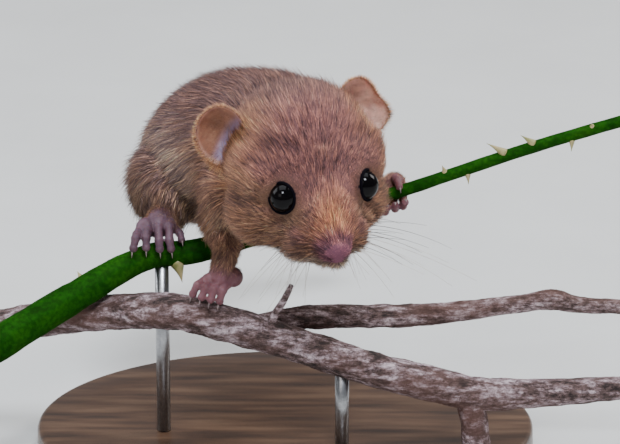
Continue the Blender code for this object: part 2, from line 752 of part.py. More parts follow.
def build_perches(group, helpers):
    """Brown branch with its side twig, and the prickly green stem."""
    branch = tube("perch_branch", BRANCH_ROUTE, group, 3)
    fork = tube("fork", FORK_ROUTE, helpers, 3)
    spur = tube("spur", SPUR_ROUTE, helpers, 2)
    unlink_from([fork, spur], helpers)
    fuse(branch, [fork, spur], helpers)
    twig = tube("perch_twig", TWIG_ROUTE, group, 3)
    stem = tube("perch_stem", STEM_ROUTE, group, 3, 26)
    prickles = []
    for index, (x, direction, length, radius) in enumerate(PRICKLES):
        centre, thickness = route_at_x(STEM_ROUTE, x)
        root = centre + direction.normalized() * (thickness * 0.55)
        prickles.append(thorn("prickle_%d" % index, root, direction, length + thickness * 0.45,
                              radius, helpers))
    unlink_from(prickles, helpers)
    fuse(stem, prickles, helpers)
    wider = swollen(branch, PART_GAP, helpers)
    cut_with(twig, wider)
    return branch, twig, stem


def build_stand(group, branch, stem, helpers):
    """Flat oval base with two short rods up to the perches."""
    mesh = bmesh.new()
    matrix = Matrix.Translation((0.0, 0.0, BASE_THICKNESS * MM / 2))
    matrix = matrix @ Matrix.Diagonal((BASE_HALF_WIDTH * MM, BASE_HALF_DEPTH * MM,
                                       BASE_THICKNESS * MM, 1.0))
    bmesh.ops.create_cone(mesh, cap_ends=True, segments=48, radius1=1.0, radius2=1.0,
                          depth=1.0, matrix=matrix)
    base = object_from_bmesh(mesh, "stand_base", group)
    edge = base.modifiers.new("edge", "BEVEL")
    edge.width = BASE_EDGE * MM
    edge.segments = 1
    edge.limit_method = "ANGLE"
    apply_modifiers(base)
    rods = []
    for name, perch, route, x in (("stand_rod_front", branch, BRANCH_ROUTE, 5.0),
                                  ("stand_rod_back", stem, STEM_ROUTE, -23.5)):
        place = world(route_at_x(route, x)[0])
        low = (BASE_THICKNESS + PART_GAP) * MM
        mesh = bmesh.new()
        height = place.z - low
        matrix = Matrix.Translation((place.x, place.y, low + height / 2))
        bmesh.ops.create_cone(mesh, cap_ends=True, segments=20, radius1=ROD_RADIUS * MM,
                              radius2=ROD_RADIUS * MM, depth=height, matrix=matrix)
        rod = object_from_bmesh(mesh, name, group)
        cut_with(rod, swollen(perch, PART_GAP, helpers))
        rods.append(rod)
    return [base] + rods


def shade_smooth(thing):
    for face in thing.data.polygons:
        face.use_smooth = True


def clear_of(thing, others, helpers):
    """Cut a node back by the gap from each neighbour that it could touch."""
    for other in others:
        cut_with(thing, swollen(other, PART_GAP, helpers))


def main():
    clear_scene()
    group = new_collection(MODEL_NAME)
    helpers = new_collection("helpers")
    branch, twig, stem = build_perches(group, helpers)
    body = build_body_form(helpers)
    whole = copy_of(body, "whole_form", helpers)
    ear_cutter = swollen(whole, PART_GAP, helpers)
    remove_object(whole)
    cut_with(body, swollen(stem, PART_GAP, helpers))
    nodes = part_body(body, group, helpers)
    head = detail_head(nodes["head"], helpers)
    nodes["eye_right"] = build_eye(-1.0, "eye_right", group)
    nodes["eye_left"] = build_eye(1.0, "eye_left", group)
    for name in EARS:
        nodes[name] = build_ear(name, ear_cutter, ear_cutter, group, helpers)
    remove_object(ear_cutter)
    limbs = (("hand_right", build_hand_right, "fore_leg_right", branch),
             ("hand_left", build_hand_left, "fore_leg_left", stem),
             ("foot_right", build_foot_right, "hind_leg_right", stem),
             ("foot_left", build_foot_left, "hind_leg_left", stem))
    for name, builder, limb, perch in limbs:
        nodes[name] = builder(group, helpers)
        neighbours = [nodes[limb], perch]
        if name == "hand_left":
            neighbours += [nodes["neck"], head]
        clear_of(nodes[name], neighbours, helpers)
    for name in ("abdomen", "chest", "rump"):
        cut_with(nodes[name], room_for_left_foot(helpers))
    stand = build_stand(group, branch, stem, helpers)

    fur = make_material("fur_brown", FUR_BROWN, 0.9)
    tan = make_material("fur_tan", FUR_TAN, 0.9)
    pink = make_material("skin_pink", SKIN_PINK, 0.6)
    mauve = make_material("foot_mauve", FOOT_MAUVE, 0.6)
    peach = make_material("ear_peach", EAR_PEACH, 0.7)
    black = make_material("eye_black", EYE_BLACK, 0.05)
    coats = {"head": tan, "neck": fur, "chest": fur, "abdomen": fur, "rump": fur,
             "tail_base": fur, "tail_middle": fur, "tail_tip": fur,
             "fore_leg_right": tan, "fore_leg_left": tan,
             "hind_leg_right": tan, "hind_leg_left": tan,
             "hand_right": pink, "hand_left": pink, "foot_right": mauve, "foot_left": mauve,
             "ear_right": peach, "ear_left": peach, "eye_right": black, "eye_left": black}
    for name, thing in nodes.items():
        thing.data.materials.clear()
        thing.data.materials.append(coats[name])
        shade_smooth(thing)
    bark = make_material("bark_grey", BARK_GREY, 0.85)
    green = make_material("stem_green", STEM_GREEN, 0.5)
    for thing, material in ((branch, bark), (twig, bark), (stem, green)):
        thing.data.materials.clear()
        thing.data.materials.append(material)
        shade_smooth(thing)
    wood = make_material("base_wood", BASE_WOOD, 0.4)
    metal = make_material("rod_metal", ROD_METAL, 0.35, 1.0)
    for thing in stand:
        thing.data.materials.clear()
        thing.data.materials.append(wood if thing.name == "stand_base" else metal)
    bpy.data.collections.remove(helpers)


main()
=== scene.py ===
"""Looks of the hazel dormouse model: skin, coat, eyes, ears, hands, feet, perches and stand."""
import math

import bpy
import numpy as np
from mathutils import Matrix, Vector

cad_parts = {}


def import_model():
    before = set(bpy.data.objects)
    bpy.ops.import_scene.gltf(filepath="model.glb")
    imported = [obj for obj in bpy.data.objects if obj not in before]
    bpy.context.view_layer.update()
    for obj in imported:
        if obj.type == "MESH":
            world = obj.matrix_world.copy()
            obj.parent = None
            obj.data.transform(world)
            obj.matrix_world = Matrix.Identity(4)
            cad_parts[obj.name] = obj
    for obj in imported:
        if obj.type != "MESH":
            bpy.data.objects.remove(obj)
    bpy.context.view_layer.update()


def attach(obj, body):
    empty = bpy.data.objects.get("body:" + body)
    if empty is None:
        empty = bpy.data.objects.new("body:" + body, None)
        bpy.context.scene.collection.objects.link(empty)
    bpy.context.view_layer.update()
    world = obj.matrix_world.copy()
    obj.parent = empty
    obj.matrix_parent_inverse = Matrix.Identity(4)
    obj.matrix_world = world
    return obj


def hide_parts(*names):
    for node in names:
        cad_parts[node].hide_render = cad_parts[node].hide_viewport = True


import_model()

MM = 0.001

# Middle of the photo's frame in the world, and the camera that looks at it
VIEW_CENTRE = np.array((0.004, -0.013, 0.044))
CAMERA_ELEVATION = math.radians(20.0)
CAMERA_DISTANCE = 0.6
CAMERA_LENS = 224.8
SENSOR_WIDTH = 36.0

# Head, measured in millimetres from the point midway between the eyes
EYE_MIDPOINT = np.array((1.63, -8.0, 8.3))
HEAD_YAW = math.radians(22.0)
HEAD_PITCH = math.radians(28.0)
HEAD_ROLL = math.radians(1.5)
EYE_PLACE = (0.9, 6.4, 0.5)
EYE_RADII = (2.6, 2.15, 2.42)
EYE_LOOK = (0.60, 0.65, 0.46)
NOSE_TIP = (9.2, 0.0, -4.0)

# Trunk, limbs and tail: place and radius of the coat's outer outline
NAPE = ((-2.0, 8.0, 8.5), 11.3)
SHOULDERS = ((-6.0, 12.0, 8.5), 12.0)
MID_BACK = ((-12.0, 19.0, 6.0), 12.3)
RUMP = ((-16.0, 26.0, 2.0), 11.6)
TAIL_ROOT = ((-18.5, 33.5, -3.0), 5.0)
TAIL_ROUTE = [
    ((-18.5, 33.5, -3.0), 4.4),
    ((-20.5, 43.5, -9.0), 3.9),
    ((-17.5, 55.0, -14.0), 4.1),
    ((-8.5, 64.5, -17.0), 4.0),
    ((2.5, 69.0, -18.0), 2.9),
    ((6.0, 69.3, -18.2), 1.4),
]
FORE_LIMB_RIGHT = [
    ((-11.0, 5.5, 3.5), 6.0),
    ((-13.3, 6.0, -1.2), 4.2),
    ((-13.2, 3.2, -4.2), 2.6),
    ((-13.0, 2.0, -5.4), 1.9),
]
FORE_LIMB_LEFT = [
    ((3.8, 13.3, 4.0), 6.0),
    ((8.2, 14.0, -0.5), 3.9),
    ((10.8, 13.0, -0.3), 2.6),
    ((12.2, 12.3, 0.4), 1.9),
]
HIND_LIMB_RIGHT = [
    ((-18.5, 23.5, 1.0), 8.0),
    ((-21.8, 19.5, -0.2), 7.4),
    ((-22.8, 15.5, -2.0), 4.2),
    ((-23.2, 12.6, -3.4), 2.4),
]
HIND_LIMB_LEFT = [
    ((-10.0, 27.5, 1.0), 8.0),
    ((-8.0, 25.5, -1.0), 7.0),
    ((-9.0, 21.5, -4.5), 3.8),
    ((-10.0, 18.6, -5.6), 2.3),
]
STEM_ROUTE = [
    ((-52.0, -8.0, -19.6), 2.75),
    ((-38.4, 2.0, -14.2), 2.5),
    ((-26.4, 8.2, -9.2), 2.05),
    ((-17.5, 10.6, -8.6), 1.95),
    ((-2.0, 10.5, -3.95), 1.45),
    ((14.3, 9.2, 1.8), 1.0),
    ((33.9, 7.8, 9.3), 0.95),
    ((52.0, 6.0, 15.6), 0.9),
]

BRANCH_ROUTE = [
    ((-52.0, 10.0, -22.0), 2.7),
    ((-38.0, 8.0, -18.7), 2.8),
    ((-22.5, 2.5, -15.8), 2.85),
    ((-13.2, 1.0, -17.3), 2.85),
    ((-1.5, 0.0, -20.7), 2.7),
    ((9.8, -1.0, -24.2), 2.7),
    ((20.2, -1.5, -26.8), 2.75),
    ((29.5, -1.5, -28.3), 2.5),
    ((52.0, 0.0, -27.6), 1.7),
]
FORK_ROUTE = [
    ((25.0, -1.5, -28.0), 2.2),
    ((25.8, -2.0, -32.5), 2.15),
    ((26.2, -2.5, -36.6), 2.2),
]
SPUR_ROUTE = [
    ((-6.5, 0.0, -18.5), 0.8),
    ((-5.6, -1.0, -15.2), 0.6),
    ((-4.2, -1.6, -12.6), 0.55),
    ((-2.9, -1.8, -9.8), 0.4),
]
TWIG_ROUTE = [
    ((-10.5, 1.6, -18.2), 1.4),
    ((-4.5, 3.4, -17.7), 1.75),
    ((1.9, 4.5, -17.5), 1.85),
    ((17.7, 5.0, -17.4), 1.75),
    ((33.0, 5.2, -15.6), 1.4),
    ((38.3, 5.2, -14.9), 1.7),
    ((42.5, 5.2, -15.8), 1.25),
    ((52.0, 5.2, -16.2), 1.15),
]
# Prickles of the bramble stem: place along X, direction away from the stem, length, base radius
PRICKLES = [
    (21.2, (-0.3, -0.2, 1.0), 1.4, 0.55),
    (24.5, (0.2, -0.4, -1.0), 1.7, 0.55),
    (31.0, (-1.0, -0.2, 0.75), 3.2, 0.75),
    (35.2, (-1.0, -0.2, 0.9), 2.4, 0.7),
    (40.6, (0.05, -0.4, -1.0), 1.8, 0.55),
    (44.0, (-0.2, -0.6, 0.8), 1.0, 0.5),
    (-21.6, (0.4, -0.45, -1.0), 3.4, 1.35),
    (-35.0, (-0.5, 0.5, 0.9), 1.6, 0.8),
    (-45.0, (-0.3, -0.7, -0.8), 1.4, 0.8),
]
BASE_HALF_WIDTH = 40.0
BASE_HALF_DEPTH = 31.0
BASE_HEIGHT = 5.0
ROD_RADIUS = 1.1

# Lids in millimetres, with the rim's edge given by its size and its way out from the eye's middle
RIM_RADIUS = 0.24
LID_RADIUS = 0.30
LID_HALF_WIDTH = 2.02
LID_EXTRA_HEIGHT = 0.34
LID_AHEAD = 0.90
EYEBALL_REACH = 2.24
BARE_RIM = 0.30

# Skin and coat in millimetres, numbers of hairs, and lifts off the skin in degrees
SKIN_GRID = 0.27
PAW_GRID = 0.13
FINE_HAIRS = 270000
FINE_LIFT = 26.0
LONG_TUFTS = 62000
LONG_LIFT = 23.0
EAR_HAIRS = 6500
PAW_HAIRS = 3500
SHORT_LIFT = 24.0
SHORT_WIDTH = 0.03
HAIR_LENGTHS = (0.45, 5.4)
ROOT_DEPTH = 0.10
PIECE_FACES = 190000
MAP_PATCH = 0.003

VERTICAL = np.array((0.0, 0.0, 1.0))
RNG = np.random.default_rng(7)


def head_axes():
    """Forward, left and up directions of the head."""
    level = np.array((math.sin(HEAD_YAW), -math.cos(HEAD_YAW), 0.0))
    forward = level * math.cos(HEAD_PITCH) - np.array((0.0, 0.0, math.sin(HEAD_PITCH)))
    flat = np.array((math.cos(HEAD_YAW), math.sin(HEAD_YAW), 0.0))
    left = flat * math.cos(HEAD_ROLL) + np.cross(forward, flat) * math.sin(HEAD_ROLL)
    return forward, left, np.cross(forward, left)


FORWARD, LEFT, UP = head_axes()


def head_spot(forward, left, up):
    return EYE_MIDPOINT + FORWARD * forward + LEFT * left + UP * up


def near_nose(forward, left, up):
    """Place in head directions from the tip of the nose."""
    return head_spot(NOSE_TIP[0] + forward, left, NOSE_TIP[2] + up)


def head_coordinates(points, origin=EYE_MIDPOINT):
    """Forward, left and up of points, measured from between the eyes."""
    shifted = points - origin
    return shifted @ FORWARD, shifted @ LEFT, shifted @ UP


def world(points):
    """Metres in the world from millimetres about the photo's middle."""
    return VIEW_CENTRE + np.asarray(points) * MM


def unit(vectors):
    vectors = np.asarray(vectors, dtype=float)
    length = np.linalg.norm(vectors, axis=-1, keepdims=True)
    return vectors / np.maximum(length, 1e-9)


def distance(points, place):
    return np.linalg.norm(points - place, axis=1)


def bell(values, width):
    """1 at 0, falling off smoothly within about the width."""
    return np.exp(-(values / width) ** 2)


def patch(spots, centre, size):
    """Soft round patch: 1 at its centre, with its own size along each direction."""
    gaps = [((spot - middle) / reach) ** 2 for spot, middle, reach in zip(spots, centre, size)]
    return np.exp(-sum(gaps))


def step(values, low, high):
    """Smooth step from 0 at low to 1 at high."""
    share = np.clip((values - low) / (high - low), 0.0, 1.0)
    return share * share * (3.0 - 2.0 * share)


def waves(points, size, seed):
    """Smooth repeatable variation in three directions, about -1 to 1."""
    dice = np.random.default_rng(seed)
    total = np.zeros((len(points), 3))
    for _ in range(5):
        directions = dice.normal(size=(3, 3))
        phase = dice.uniform(0.0, 6.28, 3)
        total += np.sin(points @ directions.T / size + phase)
    return total / 2.5


def batches(count):
    """Slices that keep large tables of distances small."""
    return [slice(start, start + 20000) for start in range(0, count, 20000)]


def route_points(route, count):
    """Places and radii on a smooth curve through a route."""
    places = np.array([knot[0] for knot in route], dtype=float)
    radii = np.array([knot[1] for knot in route], dtype=float)
    knots = np.column_stack((places, radii))
    last = len(route) - 1
    out = []
    for share in np.linspace(0.0, 1.0, count):
        index = min(int(share * last), last - 1)
        part = share * last - index
        four = knots[[max(index - 1, 0), index, index + 1, min(index + 2, last)]]
        weights = np.array((
            (-part + 2 * part ** 2 - part ** 3) / 2,
            (2 - 5 * part ** 2 + 3 * part ** 3) / 2,
            (part + 4 * part ** 2 - 3 * part ** 3) / 2,
            (-part ** 2 + part ** 3) / 2,
        ))
        out.append(weights @ four)
    out = np.array(out)
    return out[:, :3], out[:, 3]


# Building blocks


def link(thing):
    bpy.context.scene.collection.objects.link(thing)
    return thing


def object_from_arrays(name, verts, faces, colours=None):
    """Smooth mesh object from metre vertices and equal-sided faces."""
    data = bpy.data.meshes.new(name)
    sides = faces.shape[1]
    data.vertices.add(len(verts))
    data.vertices.foreach_set("co", np.asarray(verts, dtype=np.float32).ravel())
    data.loops.add(faces.size)
    data.loops.foreach_set("vertex_index", faces.astype(np.int32).ravel())
    data.polygons.add(len(faces))
    data.polygons.foreach_set("loop_start", np.arange(0, faces.size, sides, dtype=np.int32))
    data.polygons.foreach_set("use_smooth", np.full(len(faces), True))
    data.update(calc_edges=True)
    if colours is not None:
        paint(data, colours)
    return link(bpy.data.objects.new(name, data))


def paint(data, colours):
    """Store one colour for each vertex."""
    layer = data.color_attributes.new("coat_colour", "FLOAT_COLOR", "POINT")
    rgba = np.ones((len(colours), 4), dtype=np.float32)
    rgba[:, :3] = colours
    layer.data.foreach_set("color", rgba.ravel())


def ball_template(segments):
    """Unit ball as vertices and triangles."""
    rings = segments // 2
    tilt = np.pi * np.arange(1, rings) / rings
    turn = 2 * np.pi * np.arange(segments) / segments
    ring = np.stack((np.sin(tilt)[:, None] * np.cos(turn), np.sin(tilt)[:, None] * np.sin(turn),
                     np.repeat(np.cos(tilt)[:, None], segments, 1)), axis=-1).reshape(-1, 3)
    verts = np.vstack((ring, (0.0, 0.0, 1.0), (0.0, 0.0, -1.0)))
    top, bottom = len(ring), len(ring) + 1
    faces = []
    for column in range(segments):
        after = (column + 1) % segments
        faces.append((top, column, after))
        last = (rings - 2) * segments
        faces.append((bottom, last + after, last + column))
        for row in range(rings - 2):
            here = row * segments
            faces.append((here + column, here + segments + column, here + segments + after))
            faces.append((here + column, here + segments + after, here + after))
    return verts, np.array(faces)


def full_turn(count):
    return np.linspace(0.0, 2 * math.pi, count, endpoint=False)


def ring_faces(rows, sides, closed):
    """Four-sided faces between rings; closed joins the last ring to the first one too."""
    turn = np.arange(sides)
    after = (turn + 1) % sides
    faces = []
    for row in range(rows if closed else rows - 1):
        here = row * sides
        above = (row + 1) % rows * sides
        faces += np.column_stack((here + turn, here + after, above + after, above + turn)).tolist()
    return faces


def tube(rings, first_end, last_end):
    """Vertices and faces of a closed tube, from its rings of places and the middles of its ends."""
    rows, sides = rings.shape[:2]
    turn = np.arange(sides)
    after = (turn + 1) % sides
    last = (rows - 1) * sides
    point = np.full(sides, rows * sides)
    verts = np.vstack((rings.reshape(-1, 3), first_end, last_end))
    return verts, (ring_faces(rows, sides, False)
                   + np.column_stack((point, after, turn)).tolist()
                   + np.column_stack((point + 1, last + turn, last + after)).tolist())


def ball(centre, radius):
    return np.array(centre, dtype=float), np.eye(3), np.full(3, float(radius))


def oval(centre, radii):
    """Ellipsoid along the head's directions."""
    return np.array(centre), np.array((FORWARD, LEFT, UP)), np.array(radii, dtype=float)


def limb(route, steps):
    """Row of balls close enough to read as one tapering limb."""
    places, radii = route_points(route, steps + 1)
    return [ball(place, radius) for place, radius in zip(places, radii)]


def fused_form(name, shapes, grid, passes, segments=16):
    """One smooth closed mesh from overlapping balls and ovals."""
    verts, faces = ball_template(segments)
    all_verts = [centre + (verts * radii) @ rows for centre, rows, radii in shapes]
    all_faces = [faces + number * len(verts) for number in range(len(shapes))]
    form = object_from_arrays(name, world(np.vstack(all_verts)), np.vstack(all_faces))
    cells = form.modifiers.new("grid", "REMESH")
    cells.mode = "VOXEL"
    cells.voxel_size = grid * MM
    soften = form.modifiers.new("soften", "SMOOTH")
    soften.factor = 0.5
    soften.iterations = passes
    graph = bpy.context.evaluated_depsgraph_get()
    data = bpy.data.meshes.new_from_object(form.evaluated_get(graph))
    form.modifiers.clear()
    form.data = data
    data.shade_smooth()
    return form


def rows_of(items, key, kind):
    """Three values of each vertex or triangle."""
    values = np.empty(len(items) * 3, dtype=kind)
    items.foreach_get(key, values)
    return values.reshape(-1, 3)


def mesh_arrays(thing):
    """Vertices in millimetres about the photo's middle, normals and faces as triangles."""
    data = thing.data
    data.calc_loop_triangles()
    places = (rows_of(data.vertices, "co", np.float32) - VIEW_CENTRE) / MM
    normals = rows_of(data.vertices, "normal", np.float32).astype(float)
    return places, normals, rows_of(data.loop_triangles, "vertices", np.int32)


def set_places(thing, places):
    thing.data.vertices.foreach_set("co", world(places).astype(np.float32).ravel())
    thing.data.update()


# Materials


class Nodes:
    """Small helper that adds and links shader nodes."""

    def __init__(self, name):
        self.material = bpy.data.materials.new(name)
        self.material.use_nodes = True
        self.tree = self.material.node_tree
        self.shader = self.tree.nodes["Principled BSDF"]

    def add(self, kind, **values):
        """New node with its properties and socket values set by name."""
        node = self.tree.nodes.new(kind)
        for key, value in values.items():
            if hasattr(node, key):
                setattr(node, key, value)
            else:
                node.inputs[key.replace("_", " ")].default_value = value
        return node

    def link(self, out, into):
        self.tree.links.new(out, into)

    def placed(self, kind, output, **values):
        """Output of a node that is laid out by the object's own coordinates."""
        node = self.add(kind, **values)
        place = self.add("ShaderNodeTexCoord")
        self.link(place.outputs["Object"], node.inputs["Vector"])
        return node.outputs[output]

    def noise(self, scale, detail=3.0, roughness=0.55, stretch=(1.0, 1.0, 1.0)):
        node = self.add("ShaderNodeTexNoise", Scale=scale, Detail=detail, Roughness=roughness)
        grid = self.placed("ShaderNodeMapping", "Vector", Scale=stretch)
        self.link(grid, node.inputs["Vector"])
        return node.outputs["Fac"]

    def tones(self, scale, detail, *stops, **values):
        """Colours from noise, each stop a place between 0 and 1 and a colour."""
        return self.ramp(self.noise(scale, detail, **values), stops)

    def ramp(self, value, stops):
        node = self.add("ShaderNodeValToRGB")
        elements = node.color_ramp.elements
        while len(elements) < len(stops):
            elements.new(0.5)
        for element, (place, colour) in zip(elements, stops):
            element.position = place
            element.color = (*colour, 1.0)
        self.link(value, node.inputs["Fac"])
        return node.outputs["Color"]

    def painted(self):
        """Colours stored on the mesh."""
        return self.add("ShaderNodeVertexColor", layer_name="coat_colour").outputs["Color"]

    def mix(self, factor, first, second, blend="MIX"):
        node = self.add("ShaderNodeMix", data_type="RGBA", blend_type=blend)
        for socket, value in ((0, factor), (6, first), (7, second)):
            if hasattr(value, "is_linked"):
                self.link(value, node.inputs[socket])
            elif isinstance(value, tuple):
                node.inputs[socket].default_value = (*value, 1.0)
            else:
                node.inputs[socket].default_value = value
        return node.outputs[2]

    def multiply(self, colour, factor):
        return self.mix(1.0, colour, factor, "MULTIPLY")

    def bump(self, height, strength, distance):
        """Relief, with its depth in metres."""
        node = self.add("ShaderNodeBump", Strength=strength, Distance=distance)
        self.link(height, node.inputs["Height"])
        self.link(node.outputs["Normal"], self.shader.inputs["Normal"])

    def finish(self, colour, roughness, **values):
        """Material with its colour linked and its constants set on the shader."""
        self.link(colour, self.shader.inputs["Base Color"])
        self.shader.inputs["Roughness"].default_value = roughness
        for key, value in values.items():
            self.shader.inputs[key.replace("_", " ")].default_value = value
        return self.material


def mottled(name, scale, roughness, *stops, relief=None, **values):
    """Material whose colours are spread by noise, with finer noise as relief if asked for."""
    nodes = Nodes(name)
    if relief:
        fine, strength, depth = relief
        nodes.bump(nodes.noise(fine), strength, depth)
    return nodes.finish(nodes.tones(scale, 3.0, *stops), roughness, **values)


def coat_material():
    nodes = Nodes("coat_fur")
    grain = nodes.tones(900.0, 2.0, (0.3, (0.82, 0.82, 0.82)), (0.7, (1.1, 1.1, 1.1)))
    return nodes.finish(nodes.multiply(nodes.painted(), grain), 0.7, Specular_IOR_Level=0.3)


def skin_material():
    nodes = Nodes("skin")
    nodes.bump(nodes.noise(2600.0, 4.0), 0.5, 0.0002)
    return nodes.finish(nodes.painted(), 0.75, Specular_IOR_Level=0.1)


def give(thing, material, slot, *nodes):
    """Material and body of one piece, and the solids it stands for; the slot is not used."""
    thing.data.materials.clear()
    thing.data.materials.append(material)
    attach(thing, "root")
    if nodes:
        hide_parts(*nodes)


# Body regions: route, coat depths along it, samples, and hair along the route or against it
HEAD_LINE = [(head_spot(ahead, 0.0, up), radius) for ahead, up, radius in (
    (-12.0, -1.5, 11.5), (-6.0, -2.5, 11.5), (-1.0, -3.5, 8.5), (3.5, -4.4, 5.0),
    (6.5, -4.6, 3.2), (NOSE_TIP[0], NOSE_TIP[2], 2.0))]
FORE_DEPTHS = (2.0, 1.5, 0.8, 0.2)
HIND_DEPTHS = (2.2, 2.1, 1.2, 0.3)
REGIONS = {
    "head": (HEAD_LINE, (1.9, 1.7, 1.1, 0.7, 0.45, 0.08), 24, -1.0),
    "trunk": ([NAPE, SHOULDERS, MID_BACK, RUMP, TAIL_ROOT], (2.1, 2.3, 2.3, 2.3, 2.2), 24, 1.0),
    "tail": (TAIL_ROUTE, (2.1, 2.1, 2.2, 2.2, 1.9, 1.1), 40, 1.0),
    "fore_right": (FORE_LIMB_RIGHT, FORE_DEPTHS, 14, 1.0),
    "fore_left": (FORE_LIMB_LEFT, FORE_DEPTHS, 14, 1.0),
    "hind_right": (HIND_LIMB_RIGHT, HIND_DEPTHS, 14, 1.0),
    "hind_left": (HIND_LIMB_LEFT, HIND_DEPTHS, 14, 1.0),
}
REGION_NAMES = list(REGIONS)


def region_table():
    """All region samples: place, flow direction, radius, depth, region number, share."""
    rows = []
    for number, (route, depths, count, sense) in enumerate(REGIONS.values()):
        places, radii = route_points(route, count)
        flow = unit(np.gradient(places, axis=0)) * sense
        share = np.linspace(0.0, 1.0, count)
        depth = np.interp(share, np.linspace(0.0, 1.0, len(depths)), depths)
        rows.append(np.column_stack((places, flow, radii, depth, np.full(count, number), share)))
    return np.vstack(rows)


def region_ratios(points, table):
    """Squared distance of points from each region sample, in radii of that sample."""
    gap = points[:, None, :] - table[None, :, :3]
    return (gap ** 2).sum(2) / table[None, :, 6] ** 2


def region_fields(points, normals):
    """Coat depth, flow direction, region weights and place along each region."""
    table = region_table()
    depth = np.zeros(len(points))
    flow = np.zeros((len(points), 3))
    weights = np.zeros((len(points), len(REGIONS)))
    along = np.zeros(len(points))
    for part in batches(len(points)):
        ratio = region_ratios(points[part], table)
        weight = np.exp(-7.0 * (ratio - ratio.min(1, keepdims=True)))
        total = weight.sum(1, keepdims=True)
        depth[part] = (weight @ table[:, 7]) / total[:, 0]
        flow[part] = (weight @ table[:, 3:6]) / total
        along[part] = (weight @ table[:, 9]) / total[:, 0]
        for number in range(len(REGIONS)):
            weights[part, number] = weight[:, table[:, 8] == number].sum(1) / total[:, 0]
    away_from_nose = unit(points - head_spot(11.5, 0.0, -4.6))
    on_head = weights[:, :1]
    sideways = np.clip(1.0 - np.abs(normals[:, 2:3]), 0.0, 1.0)
    droop = np.array((0.0, 0.0, -0.45)) * sideways * (1.0 - on_head)
    flow = flow * (1.0 - on_head) + away_from_nose * on_head + droop
    flow = flow - normals * (flow * normals).sum(1, keepdims=True)
    return depth, unit(flow), weights, along


# Colours of the coat, by place on the body
TAN = np.array((0.385, 0.205, 0.130))
FLANK = np.array((0.58, 0.405, 0.330))
# Painted shade: dark brown laid on both cheeks
CHEEK_SHADE = np.array((0.17, 0.088, 0.062))
BACK = np.array((0.270, 0.150, 0.128))
CROWN = np.array((0.250, 0.108, 0.095))
ORANGE = np.array((0.62, 0.295, 0.155))
CREAM = np.array((0.46, 0.33, 0.24))
WHISKER_BED = np.array((0.085, 0.040, 0.034))
SNOUT = np.array((0.62, 0.265, 0.165))
EAR_INSIDE = np.array((0.36, 0.175, 0.108))
# Painted shade, violet-grey, for the hollow of the ear
EAR_SHADE = np.array((0.33, 0.25, 0.38))
# Pale peach rim, partly the ear's own pale edge and partly a painted highlight; also the left ear's
# inside, painted as lit
EAR_PALE_LIT = np.array((0.66, 0.40, 0.31))
EAR_BACK = np.array((0.40, 0.22, 0.13))
LID = np.array((0.006, 0.005, 0.008))
NOSE = np.array((0.165, 0.062, 0.090))
DARK_HAIR = np.array((0.93, 0.93, 1.14))
LIGHT_HAIR = np.array((1.07, 1.0, 0.84))


def layered(colour, *layers):
    """Colour with others laid over it in turn, each by its own amount from 0 to 1."""
    for other, amount in layers:
        amount = np.clip(amount, 0.0, 1.0)[:, None]
        colour = colour * (1.0 - amount) + other * amount
    return colour


def coat_colours(points, normals, weights, along):
    """Markings: brown back, tan flanks, orange round the ears and muzzle, cream below, with painted
    shade on the cheeks, under the body and along the mouth.
    """
    ahead, left, up = head_coordinates(points)
    side = np.abs(left)
    spots = (ahead, side, up)
    head, trunk = weights[:, 0], weights[:, 1]
    limbs = weights[:, 3:].sum(1)
    hind = weights[:, REGION_NAMES.index("hind_right")]
    plain = np.ones((len(points), 3)) * TAN
    colour = layered(
        plain * 0.9,
        (FLANK, step(along, 0.25, 0.55) * trunk),
        (TAN, limbs),
        (FLANK * 0.75, hind * 0.6),
        (BACK, step(normals[:, 2], -0.05, 0.75) * (1.0 - limbs * 0.8)),
        # paler cream underside, its colour darkened by 0.8 as painted shade
        (CREAM * 0.8, step(-normals[:, 2], -0.15, 0.65) * 0.7))
    facing_up = normals @ UP
    ear = patch(spots, (-8.6, 9.6), (3.9, 3.1))
    # painted shade on the cheeks
    cheek_shade = patch(spots, (-3.0, 8.5, -4.5), (4.5, 4.0, 3.5))
    bridge = step(ahead, 2.0, 6.0) * step(up, -6.5, -3.0) * step(-side, -3.4, -1.2)
    tip = patch(spots, (6.6, 0.0), (2.0, 1.7)) * step(up, -5.5, -3.0)
    below_eye = patch(spots, (3.0, 5.6, -3.2), (2.2, 1.8, 1.8))
    pad = patch(spots, (6.4, 3.4, -5.9), (2.4, 1.7, 1.9))
    rows = 0.65 + 0.35 * np.sin(up * 5.0 + ahead * 2.0 + side)
    mouth = mouth_gap(ahead, up)
    face = layered(
        plain,
        (CROWN, step(facing_up, 0.1, 0.8)),
        (CREAM, step(-facing_up, 0.30, 0.9) * 0.8),
        (BACK, step(-ahead, 4.0, 13.0) * step(normals[:, 2], 0.0, 0.7)),
        (ORANGE, ear * 0.95),
        (CHEEK_SHADE, cheek_shade * 0.9),
        (SNOUT, bridge * 0.9),
        (SNOUT * (1.05, 0.92, 0.72), tip),
        (CREAM, below_eye * 0.30),
        (WHISKER_BED, pad * rows),
        (CREAM * 1.25, step(ahead, 3.0, 6.5) * step(-mouth, -1.6, -0.5) * 0.9),
        # painted shade along the line of the mouth
        (WHISKER_BED * 0.5, step(ahead, 3.0, 5.0) * bell(mouth, 0.24) * 0.8),
        (NOSE * 1.35, nose_share(points) * 0.92),
        # darker fur round the lids, in the cheeks' painted-shade colour
        (CHEEK_SHADE * 0.6, bell(rim_distance(points), 1.3) * 0.75))
    broad = waves(points, 2.6, 12)[:, 0] * 0.4 * (1.0 - head * 0.6)
    fine = waves(points, 0.6, 14)[:, 0] * 0.35
    colour = layered(colour, (face, head)) * (1.0 + 0.13 * (broad + fine))[:, None]
    return layered(colour, (TAN * 0.85, weights[:, REGION_NAMES.index("tail")]))


# Eyes, lids, nose and mouth


